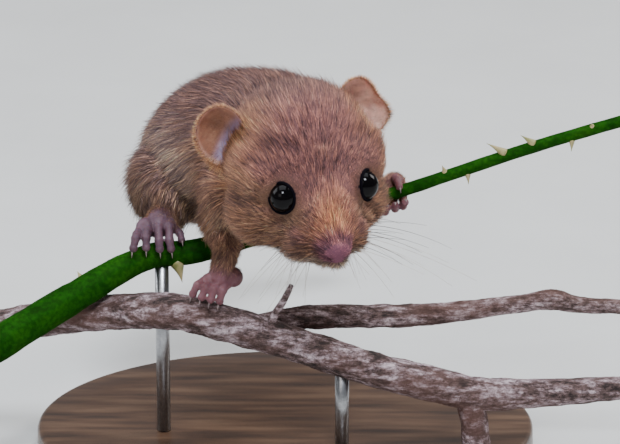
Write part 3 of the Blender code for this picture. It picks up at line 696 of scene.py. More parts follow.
def eye_centre(side):
    return head_spot(EYE_PLACE[0], EYE_PLACE[1] * side, EYE_PLACE[2])


def eye_axes(side):
    """Outward way of an eye, its width and its height, which leans back a little."""
    look = unit(FORWARD * EYE_LOOK[0] + LEFT * EYE_LOOK[1] * side + UP * EYE_LOOK[2])
    tall = UP - FORWARD * 0.75
    tall = unit(tall - look * (tall @ look))
    return look, np.cross(tall, look), tall


def lid_edge(side, count=64):
    """Closed row of places along the edge of an eye's lids, its middle and its outward way."""
    look, wide, tall = eye_axes(side)
    angle = full_turn(count)[:, None]
    reach = LID_HALF_WIDTH + LID_EXTRA_HEIGHT * np.sin(angle) ** 2
    centre = eye_centre(side) + look * LID_AHEAD
    return centre + (wide * np.cos(angle) + tall * np.sin(angle)) * reach, centre, look


def build_lid_rim(side, name, material):
    """Smooth dark rim of the lids, next to the eyeball."""
    places, centre, look = lid_edge(side, 96)
    outward = unit(places - centre)
    rings = [places + (outward * math.cos(angle) + look * math.sin(angle)) * RIM_RADIUS
             for angle in full_turn(12)]
    rim = object_from_arrays("lid_" + name, world(np.vstack(rings)),
                             np.array(ring_faces(len(rings), len(places), True)))
    give(rim, material, "eye_black")


def eye_distance(points):
    """Distance of each point from the nearer eye's middle."""
    return np.minimum(distance(points, eye_centre(-1.0)), distance(points, eye_centre(1.0)))


def rim_distance(points):
    """Distance from the edge of the nearer eye's lids, 0 over the eyeball."""
    near = eye_distance(points)
    gap = near.copy()
    close = near < 4.5
    edges = np.vstack((lid_edge(-1.0)[0], lid_edge(1.0)[0]))
    gap[close] = gap_to(points[close], edges)
    return np.where(near < EYEBALL_REACH, 0.0, gap)


def mouth_gap(ahead, up):
    """Distance above or below the line of the mouth, which slopes back from below the nose."""
    return np.abs(up - (-6.5 + 0.42 * (ahead - 9.0)))


def gap_to(points, places):
    """Distance from each point to the nearest of a few places."""
    return np.sqrt(((points[:, None, :] - places[None]) ** 2).sum(2)).min(1)


def nostril(side):
    return near_nose(0.9, 1.45 * side, -1.0)


def nose_share(points):
    """How far each place belongs to the nose pad, 0 to 1 with a soft edge."""
    ahead, left, up = head_coordinates(points, near_nose(0.2, 0.0, -0.1))
    return step(-np.sqrt(ahead ** 2 + (left * 0.80) ** 2 + up ** 2), -2.9, -1.6)


def sculpt_face(places, normals):
    """Press in the mouth, the nostrils and the cleft of the nose."""
    ahead, left, up = head_coordinates(places)
    front = step(ahead, 2.2, 3.4)
    mouth = mouth_gap(ahead, up)
    push = front * 0.45 * bell(mouth, 0.26)
    push -= front * 0.14 * bell(mouth - 0.75, 0.35)
    for side in (-1.0, 1.0):
        push += 0.85 * bell(distance(places, nostril(side)), 0.50)
    cleft = (ahead > 7.0) & (up < -5.0)
    push[cleft] += 0.26 * bell(left[cleft], 0.20)
    return places - normals * push[:, None]


def face_colours(colour, places):
    """Dark lids, pink nose, and painted shade in the pressed-in nostrils and along the pressed-in
    line of the mouth.
    """
    ahead, _, up = head_coordinates(places)
    return layered(
        colour,
        (LID, step(-rim_distance(places), -0.36, -0.16)),
        (NOSE, nose_share(places)),
        # painted shade in the pressed-in nostrils and along the mouth
        (NOSE * 0.12, step(-distance(places, nostril(-1.0)), -0.75, -0.35)),
        (NOSE * 0.12, step(-distance(places, nostril(1.0)), -0.75, -0.35)),
        (NOSE * 0.15, step(ahead, 2.2, 3.4) * bell(mouth_gap(ahead, up), 0.30)))


# Body and coat


def build_body():
    """Outer outline of the coat with its lids, then the skin set in by the coat's depth."""
    shapes = [oval(head_spot(-8.0, 0.2, -2.2), (9.8, 12.9, 10.5)),
              oval(head_spot(-1.5, 0.0, -3.2), (8.4, 7.5, 8.0)),
              ball(head_spot(-1.0, 0.0, -7.6), 7.2),
              oval(head_spot(-4.8, 0.0, -2.4), (8.8, 10.4, 9.4)),
              ball(head_spot(8.1, 0.9, -7.3), 2.1),
              ball(head_spot(5.6, 0.2, -8.4), 2.6),
              oval(near_nose(-0.2, 0.0, 0.1), (1.5, 3.1, 1.8))]
    pairs = ((-3.4, 6.6, -6.3, 6.5), (5.0, 3.4, -5.8, 3.6), (6.6, 2.6, -6.4, 2.3),
             (0.8, 5.2, -6.4, 4.1), (-5.5, 6.6, -0.6, 6.5), (NOSE_TIP[0], 1.5, NOSE_TIP[2], 1.2))
    for side in (-1.0, 1.0):
        shapes += [ball(head_spot(ahead, out * side, up), radius)
                   for ahead, out, up, radius in pairs]
        shapes += [ball(place, LID_RADIUS) for place in lid_edge(side, 44)[0]]
    snout = [(head_spot(1.0, 0.0, -3.6), 6.6), (head_spot(5.0, 0.0, -5.0), 4.9),
             (near_nose(-1.0, 0.0, -0.1), 2.8)]
    for route, steps in ((snout, 8), ([(head_spot(-9.0, 0.0, -0.8), 11.3), NAPE], 6),
                         ([NAPE, SHOULDERS, MID_BACK, RUMP], 20), ([RUMP, TAIL_ROOT], 8),
                         (TAIL_ROUTE, 50), (FORE_LIMB_RIGHT, 18), (FORE_LIMB_LEFT, 18),
                         (HIND_LIMB_RIGHT, 18), (HIND_LIMB_LEFT, 18)):
        shapes += limb(route, steps)
    body = fused_form("skin", shapes, SKIN_GRID, 8, 28)
    places, normals, _ = mesh_arrays(body)
    depth, flow, weights, along = region_fields(places, normals)
    depth = depth * (0.06 + 0.94 * step(eye_distance(places), 2.5, 8.0)) + 0.04
    set_places(body, places - normals * depth[:, None])
    places, normals, _ = mesh_arrays(body)
    set_places(body, sculpt_face(places, normals))
    places, normals, faces = mesh_arrays(body)
    colours = coat_colours(places, normals, weights, along)
    paint(body.data, face_colours(colours * 0.7, places))
    return body, places, normals, faces, depth, flow, weights, along


def plant(places, faces, count, density):
    """Function that reads a mesh's values at random roots, spread by area times density."""
    corners = places[faces]
    area = np.linalg.norm(np.cross(corners[:, 1] - corners[:, 0], corners[:, 2] - corners[:, 0]),
                          axis=1) / 2
    chance = area * density[faces].mean(1)
    chosen = RNG.choice(len(faces), count, p=chance / chance.sum())
    first = np.sqrt(RNG.random(count))
    second = RNG.random(count)
    shares = np.column_stack((1.0 - first, first * (1.0 - second), first * second))

    def at_roots(values):
        picked = values[faces[chosen]]
        return (picked * (shares if picked.ndim == 2 else shares[:, :, None])).sum(1)

    return at_roots


def tufts(name, root, normal, flow, length, width, lift, colour, material, slot, bent):
    """Thin tapering tufts along the lie of the coat, straight or bent, in pieces of even size."""
    count = len(root)
    lie = flow + waves(root, 1.1, 3) * 0.12 + waves(root, 4.0, 4) * 0.12
    lie = lie + RNG.normal(0.0, 0.10, (count, 3))
    lie = unit(lie - normal * (lie * normal).sum(1, keepdims=True))
    across = unit(np.cross(lie, normal))
    rise = math.radians(lift) + RNG.normal(0.0, 0.10, count) + waves(root, 2.3, 5)[:, 0] * 0.05
    length = length * RNG.uniform(0.70, 1.10, count)
    curl = 0.25 if bent else 0.0
    lower, upper = [lie * np.cos(angle)[:, None] + normal * np.sin(angle)[:, None]
                    for angle in (rise + curl, rise - curl)]
    base = root - normal * ROOT_DEPTH
    middle = base + lower * (length * 0.5)[:, None]
    tip = middle + upper * (length * 0.5)[:, None]
    rings = []
    for centre, size in ((base, 1.0), (middle, 0.72))[:2 if bent else 1]:
        for angle in (0.5, 2.594, 4.689):
            offset = across * math.cos(angle) + normal * (math.sin(angle) * 0.8)
            rings.append(centre + offset * (width * size)[:, None])
    verts = np.stack(rings + [tip], axis=1)
    corners = verts.shape[1]
    sides = ((0, 1), (1, 2), (2, 0))
    pattern = [(a + corners - 4, b + corners - 4, corners - 1) for a, b in sides]
    if bent:
        pattern += [(a, b, b + 3) for a, b in sides] + [(a, b + 3, a + 3) for a, b in sides]
    pattern = np.array(pattern)
    bright = np.exp(RNG.normal(-0.06, 0.38 if bent else 0.52, count))
    bright = np.where(RNG.random(count) < 0.15, bright * 0.35, bright)
    bright = bright * (1.0 + waves(root, 0.15, 8)[:, 0] * 0.34 + waves(root, 0.5, 9)[:, 0] * 0.10)
    warmth = step(bright, 0.5, 1.5)[:, None]
    shade = colour * bright[:, None] * (DARK_HAIR * (1.0 - warmth) + LIGHT_HAIR * warmth)
    tones = np.stack([shade * 0.55] * 3 + [shade * 0.92] * (3 if bent else 0) + [shade * 1.2],
                     axis=1)
    pieces = math.ceil(count * len(pattern) / PIECE_FACES)
    for number, group in enumerate(np.array_split(np.arange(count), pieces)):
        first = (np.arange(len(group)) * corners)[:, None, None]
        faces = (pattern[None] + first).reshape(-1, 3)
        piece = object_from_arrays("%s_%d" % (name, number + 1), world(verts[group].reshape(-1, 3)),
                                   faces, np.clip(tones[group].reshape(-1, 3), 0.0, 1.0))
        lay_map(piece, root[group], len(pattern))
        give(piece, material, slot)


def lay_map(piece, root, faces_each):
    """Map named OFBake: each tuft is a small patch at its root's place on the unwrapped body."""
    table = region_table()
    spot = np.empty((len(root), 2))
    for part in batches(len(root)):
        nearest = table[region_ratios(root[part], table).argmin(1)]
        offset = root[part] - nearest[:, :3]
        side = unit(np.cross(nearest[:, 3:6], VERTICAL))
        over = np.cross(side, nearest[:, 3:6])
        angle = np.arctan2((offset * side).sum(1), (offset * over).sum(1)) / (2 * math.pi) + 0.5
        spot[part, 0] = 0.01 + angle * 0.97
        spot[part, 1] = (nearest[:, 8] + 0.03 + nearest[:, 9] * 0.92) / len(REGIONS)
    corners = np.array(((0.0, 0.0), (MAP_PATCH, 0.0), (0.0, MAP_PATCH)))
    layer = piece.data.uv_layers.new(name="OFBake")
    values = spot[:, None, None, :] + np.tile(corners, (len(root), faces_each, 1, 1))
    layer.data.foreach_set("uv", values.astype(np.float32).ravel())


def build_coat(body_data, material):
    """Fine short hair all over and longer bent tufts on the trunk and tail."""
    _, places, normals, faces, depth, flow, weights, along = body_data
    bare = (rim_distance(places) < BARE_RIM) | (distance(places, near_nose(1.5, 0.0, -1.4)) < 1.0)
    open_skin = np.where(bare, 0.0, 1.0)
    furry = weights[:, 1] + weights[:, 2]
    layers = (
        ("coat_fine", FINE_HAIRS, FINE_LIFT, 0.9, False,
         open_skin * (0.9 + (1.0 - furry) + np.clip(1.3 - depth, 0.0, 1.0))),
        ("coat_long", LONG_TUFTS, LONG_LIFT, 1.0, True, open_skin * (0.15 + furry)),
    )
    for name, count, lift, share, bent, density in layers:
        at_roots = plant(places, faces, count, density)
        root = at_roots(places)
        normal = unit(at_roots(normals))
        colour = coat_colours(root, normal, at_roots(weights), at_roots(along))
        length = np.clip(at_roots(depth) * share / math.sin(math.radians(lift)), *HAIR_LENGTHS)
        width = np.interp(length, (0.5, 1.2, 2.5, 5.0), (0.032, 0.052, 0.068, 0.070))
        tufts(name, root, normal, unit(at_roots(flow)), length, width, lift, colour, material,
              "fur_brown", bent)


def fuzz(name, thing, count, density, flow, length, colour, material):
    """Sparse short hairs on an ear, or on the back of a hand or foot."""
    places, normals, faces = mesh_arrays(thing)
    at_roots = plant(places, faces, count, density)
    normal = unit(at_roots(normals))
    lie = unit(at_roots(flow))
    lie = unit(lie - normal * (lie * normal).sum(1, keepdims=True))
    tufts(name, at_roots(places), normal, lie, at_roots(length), np.full(count, SHORT_WIDTH),
          SHORT_LIFT, at_roots(colour), material, "fur_tan", False)


def build_eye(side, name):
    """Glossy black eyeball, longest in the way it looks."""
    verts, faces = ball_template(64)
    places = eye_centre(side) + verts * EYE_RADII @ np.array(eye_axes(side))
    eye = object_from_arrays("ball_" + name, world(places), faces)
    material = mottled(name, 500.0, 0.04, (0.3, (0.001, 0.001, 0.0015)),
                       (0.8, (0.003, 0.002, 0.002)), Specular_IOR_Level=0.12)
    give(eye, material, "eye_black", name)


# Ears: root and tip in head millimetres, opening direction, half width, corner size and turn
EARS = {
    "ear_right": ((-9.3, -10.4, -3.2), (-14.3, -13.7, 6.0), (-0.12, -0.95, 0.28), 4.0, 0.04, 0.4),
    "ear_left": ((-9.9, 8.9, -2.3), (-14.0, 11.2, 7.2), (0.42, -0.86, 0.22), 4.6, 0.18, -0.35),
}
# Ears: side of the front edge, strength of the painted shade on it, and colour inside; the left
# ear's inside is painted paler and its shade weaker, as if lit
EAR_LOOKS = {
    "ear_right": (1.0, 1.0, EAR_INSIDE),
    "ear_left": (-1.0, 0.2, EAR_PALE_LIT * 1.15),
}
EAR_RINGS = 30
EAR_TURNS = 72
EAR_CUP = 3.0
EAR_THICKNESS = 0.34


def ear_point(name, along, across, layer):
    """Place on an ear, from its root to its tip and from edge to edge; layer 1 in front."""
    root_spot, tip_spot, facing, half_width, corner, turn = EARS[name]
    root = head_spot(*root_spot)
    tip = head_spot(*tip_spot)
    axis = unit(tip - root)
    normal = unit(np.array(facing) - axis * (np.array(facing) @ axis))
    side = np.cross(axis, normal)
    reach = np.clip(np.hypot(along, across), 0.0, 1.0)
    angle = np.arctan2(across, along)
    outline = 1.0 + corner * np.cos(3.0 * (angle - turn))
    width = half_width * (1.0 + 0.12 * along) * outline
    dish = EAR_CUP * (reach ** 2 - 1.0) - 0.9 * np.exp(-((along + 0.5) ** 2 + across ** 2) / 0.2)
    fold = 0.38 * np.sin(3.0 * across + 0.8) * bell(along + 0.45, 0.35)
    ridge = 0.30 * bell(reach - 0.62, 0.09) * step(np.cos(angle - 2.4), -0.1, 0.9)
    roll = -0.45 * step(reach, 0.90, 1.0)
    ripple = 0.10 * np.sin(7.0 * angle + 4.0 * reach) * reach
    half = np.linalg.norm(tip - root) / 2
    thick = EAR_THICKNESS * np.sqrt(np.clip(1.04 - reach ** 4, 0.0, 1.0)) * 0.5 * layer
    rise = dish + fold + ridge + ripple - roll * 0.6 + thick
    middle = (root + tip) / 2
    return (middle + axis * (along * half * outline)[..., None] + side * (across * width)[..., None]
            + normal * rise[..., None])


def ear_faces(rings, turns):
    """Four-sided faces of both sides of an ear, of its rim and of the middle of each side."""
    count = rings * turns
    faces = []
    for ring in range(rings - 1):
        for turn in range(turns):
            here = ring * turns + turn
            after = ring * turns + (turn + 1) % turns
            faces.append((here, after, after + turns, here + turns))
            faces.append((here + count, here + turns + count, after + turns + count, after + count))
    for turn in range(turns):
        here = (rings - 1) * turns + turn
        after = (rings - 1) * turns + (turn + 1) % turns
        faces.append((here, after, after + count, here + count))
    for turn in range(turns // 2 - 1):
        middle = (turn + 1, turn, turns - 1 - turn, turns - 2 - turn)
        faces.append(middle)
        faces.append(tuple(corner + count for corner in reversed(middle)))
    return np.array(faces)


def build_ear(name, coat):
    """Thin cupped shell with folds inside, and its fine hair."""
    reach, angle = np.meshgrid(np.linspace(0.04, 1.0, EAR_RINGS), full_turn(EAR_TURNS),
                               indexing="ij")
    reach = reach.ravel()
    along = reach * np.cos(angle.ravel())
    across = reach * np.sin(angle.ravel())
    shell = np.vstack([ear_point(name, along, across, layer) for layer in (1.0, -1.0)])
    count = len(reach)
    side, strength, inner = EAR_LOOKS[name]
    # painted shade over the low front of the ear's hollow, its strength set per ear
    shaded_low_front = step(across * side * 0.7 - along, -0.15, 0.35) * strength
    colour = layered(
        np.tile(inner, (count, 1)),
        (EAR_SHADE, shaded_low_front),
        # painted shade deep in the ear's hollow near its root
        (EAR_SHADE * 0.35, step(-along, 0.35, 0.9) * step(-reach, -0.95, -0.5)),
        # pale rim, partly its own colour and partly a painted highlight
        (EAR_PALE_LIT, step(reach, 0.84, 0.97)))
    ear = object_from_arrays("shell_" + name, world(shell), ear_faces(EAR_RINGS, EAR_TURNS),
                             np.vstack((colour, np.tile(EAR_BACK, (count, 1)))))
    nodes = Nodes("ear_skin")
    veins = nodes.tones(700.0, 4.0, (0.35, (0.78, 0.74, 0.76)), (0.65, (1.1, 1.1, 1.1)))
    nodes.bump(nodes.noise(2200.0, 4.0), 0.35, 0.0001)
    material = nodes.finish(nodes.multiply(nodes.painted(), veins), 0.55,
                            Subsurface_Weight=0.2, Subsurface_Scale=0.0008)
    give(ear, material, "ear_peach", name)
    root_spot, tip_spot = EARS[name][:2]
    outward = unit(head_spot(*tip_spot) - head_spot(*root_spot))
    flow = unit(shell - shell[0] + outward * 2.5)
    edge = np.tile(reach, 2)
    behind = np.repeat((0.0, 1.0), count)
    low = np.tile(step(-along, 0.3, 0.9), 2)
    inside = (1.0 - behind) * (1.0 - np.tile(shaded_low_front, 2))
    density = 0.02 + 0.45 * inside + 0.9 * behind + 0.9 * step(edge, 0.9, 1.0) + 0.5 * low
    length = 0.7 + 0.5 * behind + 1.3 * low
    tone = layered(np.tile(ORANGE * 1.05, (2 * count, 1)),
                   (np.vstack((colour, colour)) * 1.15, inside * step(-edge, -0.95, -0.80)))
    fuzz("hair_" + name, ear, EAR_HAIRS, density, flow, length, tone, coat)


# Hands and feet, held by places along the perches


def route_at_x(route, x):
    """Centre and radius of a perch at one place along X."""
    places, radii = route_points(route, 400)
    index = int(np.abs(places[:, 0] - x).argmin())
    return places[index], radii[index]


def stem_digit(x, radius, *steps):
    """Points of a digit round the stem, each by its shift along X, depth and height; its radius."""
    return [route_at_x(STEM_ROUTE, x + shift)[0] + np.array((0.0, depth, height))
            for shift, depth, height in steps], radius


def digit_balls(points, radius):
    """Finger with knuckles and a rounder pad at its end."""
    route = [(point, radius * share) for point, share in zip(points, (1.0, 0.92, 0.88, 0.74))]
    end, before = np.array(points[-1]), np.array(points[-2])
    return limb(route, 22) + [ball(end * 0.92 + before * 0.08, radius * 0.92),
                              ball(points[1], radius * 1.08), ball(points[2], radius)]


def claw_mesh(points, radius):
    """Curved tapering claw from the end of a finger: vertices and faces."""
    end, before = np.array(points[-1]), np.array(points[-2])
    ahead = unit(end - before)
    start = end + ahead * radius * 0.25 + VERTICAL * (radius * 0.35)
    curve = [start + ahead * share * 1.1 * radius - VERTICAL * 0.9 * radius * share * share
             for share in np.linspace(0.0, 1.0, 6)]
    return sweep(curve, radius * 0.34 * np.linspace(1.0, 0.12, 6), 7)


def sweep(places, radii, sides, wobble=None):
    """Tube through places with closed ends: vertices and faces."""
    places = np.asarray(places)
    along = unit(np.gradient(places, axis=0))
    guide = VERTICAL if abs(along[0][2]) < 0.85 else np.array((0.0, 1.0, 0.0))
    across = unit(np.cross(along, guide))
    over = np.cross(across, along)
    angle = full_turn(sides)
    size = radii[:, None] if wobble is None else radii[:, None] + wobble
    ring = (across[:, None, :] * np.cos(angle)[None, :, None]
            + over[:, None, :] * np.sin(angle)[None, :, None])
    return tube(places[:, None, :] + ring * size[..., None], places[0], places[-1])


def join_sweeps(name, sweeps):
    """One smooth mesh from many tubes, each given as vertices and faces."""
    mesh_verts = []
    mesh_faces = []
    offset = 0
    for verts, faces in sweeps:
        mesh_verts.append(verts)
        mesh_faces += [tuple(offset + index for index in face) for face in faces]
        offset += len(verts)
    data = bpy.data.meshes.new(name)
    data.from_pydata(world(np.vstack(mesh_verts)).tolist(), [], mesh_faces)
    data.shade_smooth()
    return link(bpy.data.objects.new(name, data))


def foot_right_digits():
    digits = []
    ends = ((-2.7, 3.3), (-3.0, 2.7), (-3.2, 2.0), (-3.2, 1.9))
    for x, (depth, height) in zip((-27.2, -25.6, -23.8, -22.3), ends):
        lean = (x + 24.7) * 0.18
        digits.append(stem_digit(x, 0.78, (-lean, 0.6, 4.9), (0.0, -1.1, 4.8),
                                 (lean * 0.5, depth + 0.5, height + 1.4), (lean, depth, height)))
    return digits + [stem_digit(-20.6, 0.7, (-1.6, 1.5, 4.2), (-0.8, 0.6, 3.9), (0.0, -0.6, 3.5),
                                (0.3, -1.8, 2.9))]


def foot_left_digits():
    digits = []
    for x in (-13.6, -12.3, -11.0, -9.7):
        lean = (x + 11.6) * 0.15
        digits.append(stem_digit(x, 0.68, (-lean, 3.3, 1.6), (0.0, 1.6, 2.9), (0.0, -0.9, 3.0),
                                 (lean, -2.6, 1.5)))
    return digits


def hand_right_digits():
    digits = []
    tips = ((-18.3, -0.9, -11.7), (-16.9, -1.6, -12.0), (-15.5, -1.8, -12.3), (-14.1, -1.7, -12.6))
    for index, tip in enumerate(tips):
        knuckle = np.array((-16.6 + 1.25 * index, 0.3 - 0.1 * index, -10.0 - 0.1 * index))
        end = np.array(tip)
        bend = knuckle * 0.45 + end * 0.55 + np.array((0.0, -0.35, 0.7))
        start = knuckle * 0.7 + np.array((-13.8, 1.2, -9.0)) * 0.3
        digits.append(([start, knuckle, bend, end], 0.74))
    return digits


def hand_left_digits():
    over = stem_digit(13.2, 0.68, (0.0, 2.4, 0.8), (0.2, 1.0, 2.1), (0.5, -0.8, 2.2),
                      (0.9, -1.9, 1.5))
    return [over] + [stem_digit(x, 0.68, (0.2, 2.5, -0.4), (0.0, 1.3, -1.8), (0.1, -0.8, -2.3),
                                (0.2, -2.0, -1.3)) for x in (11.8, 13.2, 14.6)]


PAWS = {
    "foot_right": (foot_right_digits, [((-23.0, 13.0, -3.4), 2.0), ((-23.6, 11.0, -3.6), 2.1),
                                       ((-24.0, 9.8, -4.2), 2.0)],
                   [((-25.8, 9.1, -4.3), 1.7), ((-22.7, 10.0, -4.3), 1.7)]),
    "foot_left": (foot_left_digits, [((-10.0, 18.6, -6.0), 1.9), ((-10.9, 16.2, -6.0), 1.9),
                                     ((-11.4, 14.3, -5.8), 1.8)],
                  [((-12.8, 14.2, -5.9), 1.5), ((-10.2, 14.2, -5.9), 1.5)]),
    "hand_right": (hand_right_digits, [((-13.0, 1.9, -5.6), 1.75), ((-13.6, 1.3, -7.8), 1.8),
                                       ((-14.2, 0.8, -9.8), 1.9)],
                   [((-12.0, 1.2, -9.6), 1.6), ((-15.6, 0.6, -10.2), 1.5)]),
    "hand_left": (hand_left_digits, [((12.2, 12.4, 0.4), 1.7), ((12.9, 12.0, 1.4), 1.8),
                                     ((13.4, 11.8, 2.2), 1.7)], []),
}


def build_paw(name, material, claw_material, coat):
    """Bare hand or foot with its fingers, its claws and the short hair on its back."""
    digits_of, palm, pads = PAWS[name]
    shapes = limb(palm, 14) + [ball(place, radius) for place, radius in pads]
    digits = digits_of()
    for points, radius in digits:
        shapes += digit_balls(points, radius)
    paw = fused_form("skin_" + name, shapes, PAW_GRID, 3)
    slot = "foot_mauve" if name.startswith("foot") else "skin_pink"
    give(paw, material, slot, name)
    claws = join_sweeps("claws_" + name, [claw_mesh(points, radius) for points, radius in digits])
    give(claws, claw_material, slot)
    places, normals, _ = mesh_arrays(paw)
    wrist, palm_end = np.array(palm[0][0]), np.array(palm[-1][0])
    gap = distance(places, wrist)
    density = bell(gap, 2.6) * step(normals[:, 2] - normals[:, 1], -0.9, 0.2)
    flow = np.tile(unit(palm_end - wrist), (len(places), 1))
    length = np.clip(2.0 - gap * 0.35, 0.5, 2.0)
    tone = np.tile(TAN * 0.9, (len(places), 1))
    fuzz("hair_" + name, paw, PAW_HAIRS, density, flow, length, tone, coat)


def paw_material(name, low, high):
    """Bare skin in small scales."""
    nodes = Nodes(name)
    cells = nodes.placed("ShaderNodeTexVoronoi", "Distance", feature="DISTANCE_TO_EDGE",
                         Scale=2600.0)
    nodes.bump(cells, 0.5, 0.00012)
    return nodes.finish(nodes.tones(420.0, 4.0, (0.3, low), (0.7, high)), 0.5,
                        Specular_IOR_Level=0.3, Subsurface_Weight=0.2, Subsurface_Scale=0.0006)


# Perches


def bark_wobble(places, sides, radii, seed, amount):
    """Uneven bark: long ridges, lumps and shallow cracks, per ring and side."""
    angle = full_turn(sides)
    length = np.concatenate(([0.0], np.cumsum(np.linalg.norm(np.diff(places, axis=0), axis=1))))
    dice = np.random.default_rng(seed)
    total = np.zeros((len(places), sides))
    for _ in range(10):
        around = dice.integers(1, 9)
        pace = dice.uniform(0.15, 1.6)
        phase = dice.uniform(0.0, 6.28, 2)[0]
        ridge = np.sin(around * angle[None, :] + pace * length[:, None] + phase)
        total += ridge * dice.uniform(0.3, 1.0)
    grain = dice.normal(0.0, 0.5, total.shape)
    return (total / 4.0 + grain * 0.25) * radii[:, None] * amount


def bark_material(name, tint, bare):
    """Grey bark with pale lichen in streaks along the wood, redder where it is worn bare."""
    along = (0.30, 1.0, 1.0)
    nodes = Nodes(name)
    broad = nodes.tones(640.0, 7.0, (0.39, (0.040, 0.025, 0.022)), (0.47, (0.150, 0.098, 0.088)),
                        (0.53, (0.31, 0.235, 0.240)), (0.61, (0.70, 0.61, 0.64)),
                        roughness=0.74, stretch=along)
    fine = nodes.tones(1900.0, 6.0, (0.38, (0.34, 0.30, 0.29)), (0.57, (1.35, 1.35, 1.35)),
                       roughness=0.78, stretch=(0.6, 1.0, 1.0))
    worn = nodes.tones(70.0, 4.0, (bare, (0.0, 0.0, 0.0)), (bare + 0.14, (0.75, 0.75, 0.75)),
                       roughness=0.6, stretch=along)
    tone = nodes.mix(worn, nodes.multiply(broad, fine), (0.175, 0.086, 0.064))
    nodes.bump(nodes.noise(800.0, 7.0, 0.75, (0.5, 1.0, 1.0)), 1.0, 0.0009)
    return nodes.finish(nodes.multiply(tone, tint), 0.88)


def stem_material():
    nodes = Nodes("bramble_stem")
    tone = nodes.tones(210.0, 4.0, (0.30, (0.004, 0.032, 0.001)), (0.55, (0.009, 0.062, 0.002)),
                       (0.78, (0.016, 0.075, 0.003)))
    specks = nodes.tones(1500.0, 3.0, (0.40, (0.7, 0.7, 0.7)), (0.66, (1.2, 1.2, 1.1)))
    nodes.bump(nodes.noise(900.0, 4.0), 0.35, 0.00015)
    return nodes.finish(nodes.multiply(tone, specks), 0.6, Specular_IOR_Level=0.03)


def cut_material():
    """Pale sawn wood with its year rings."""
    nodes = Nodes("cut_wood")
    rings = nodes.placed("ShaderNodeTexWave", "Fac", wave_type="RINGS", Scale=260.0,
                         Distortion=3.0)
    tone = nodes.ramp(rings, [(0.2, (0.42, 0.29, 0.16)), (0.8, (0.60, 0.45, 0.28))])
    nodes.bump(rings, 0.4, 0.0001)
    return nodes.finish(tone, 0.7)


def perch(name, routes, sides, spacing, amount, material, slot, seed):
    """One perch from one or more routes, with uneven bark."""
    sweeps = []
    for number, route in enumerate(routes):
        length = sum(np.linalg.norm(np.subtract(after[0], here[0]))
                     for here, after in zip(route, route[1:]))
        places, radii = route_points(route, int(length / spacing) + 4)
        sweeps.append(sweep(places, radii, sides,
                            bark_wobble(places, sides, radii, seed + number, amount)))
    give(join_sweeps("bark_" + name, sweeps), material, slot, name)


def prickle_sweep(x, direction, length, base_radius):
    """Flat hooked prickle of the stem."""
    centre, thickness = route_at_x(STEM_ROUTE, x)
    direction = unit(np.array(direction))
    start = centre + direction * (thickness * 0.7)
    hook = np.array((-0.25, 0.0, -0.1)) * length
    shares = np.linspace(0.0, 1.0, 9)
    curve = np.array([start + direction * length * share + hook * share ** 2 * 0.35
                      for share in shares])
    radii = base_radius * (1.0 - shares) ** 1.35 + 0.03
    return sweep(curve, radii, 10)


def build_perches():
    perch("perch_branch", [BRANCH_ROUTE, FORK_ROUTE, SPUR_ROUTE], 40, 0.35, 0.075,
          bark_material("branch_bark", (0.80, 0.73, 0.74), 0.52), "bark_grey", 11)
    perch("perch_twig", [TWIG_ROUTE], 30, 0.3, 0.10,
          bark_material("twig_bark", (0.80, 0.72, 0.71), 0.47), "bark_grey", 21)
    green = stem_material()
    perch("perch_stem", [STEM_ROUTE], 32, 0.4, 0.035, green, "stem_green", 31)
    tips = mottled("prickle", 500.0, 0.4, (0.35, (0.20, 0.21, 0.06)), (0.65, (0.42, 0.33, 0.16)))
    prickles = join_sweeps("prickles", [prickle_sweep(*prickle) for prickle in PRICKLES])
    give(prickles, tips, "stem_green")
    build_cut_ends()


def build_cut_ends():
    """Pale sawn faces at the ends of the perches."""
    sweeps = []
    for route in (STEM_ROUTE, BRANCH_ROUTE, TWIG_ROUTE, FORK_ROUTE):
        places, radii = route_points(route, 200)
        for end, near in ((0, 1), (-1, -2)):
            if route is TWIG_ROUTE and end == 0 or route is FORK_ROUTE and end == 0:
                continue
            out = unit(places[end] - places[near])
            disc = np.array([places[end] - out * 0.3, places[end] + out * 0.06])
            sweeps.append(sweep(disc, np.array((0.86, 0.84)) * radii[end], 28))
    give(join_sweeps("cut_faces", sweeps), cut_material(), "bark_grey")


# Stand, whiskers, camera and studio


def build_stand():
    """Oval wooden base with a soft edge, given as insets and heights, and two brushed rods."""
    angle = full_turn(96)
    profile = [(-0.8, 0.0), (-0.25, 0.25), (0.0, 0.8), (0.0, 4.2), (-0.12, 4.6),
               (-0.4, 4.88), (-0.8, BASE_HEIGHT), (-6.0, BASE_HEIGHT)]
    rings = np.array([np.column_stack(((BASE_HALF_WIDTH + inset) * np.cos(angle),
                                       (BASE_HALF_DEPTH + inset) * np.sin(angle),
                                       np.full(len(angle), height))) for inset, height in profile])
    floor_spot = -VIEW_CENTRE / MM
    base = join_sweeps("plinth", [tube(rings + floor_spot, floor_spot,
                                       floor_spot + VERTICAL * BASE_HEIGHT)])
    give(base, wood_material(), "base_wood", "stand_base")
    steel = mottled("brushed_steel", 1800.0, 0.32, (0.3, (0.30, 0.30, 0.31)),
                    (0.7, (0.42, 0.42, 0.43)), relief=(2400.0, 0.15, 0.00005), Metallic=1.0)
    for name, route, x in (("stand_rod_front", BRANCH_ROUTE, 5.0),
                           ("stand_rod_back", STEM_ROUTE, -23.5)):
        top = route_at_x(route, x)[0]
        places = np.array([(top[0], top[1], floor_spot[2] + BASE_HEIGHT + 0.2), top])
        rod = join_sweeps("shaft_" + name, [sweep(places, np.full(2, ROD_RADIUS), 36)])
        give(rod, steel, "rod_metal", name)


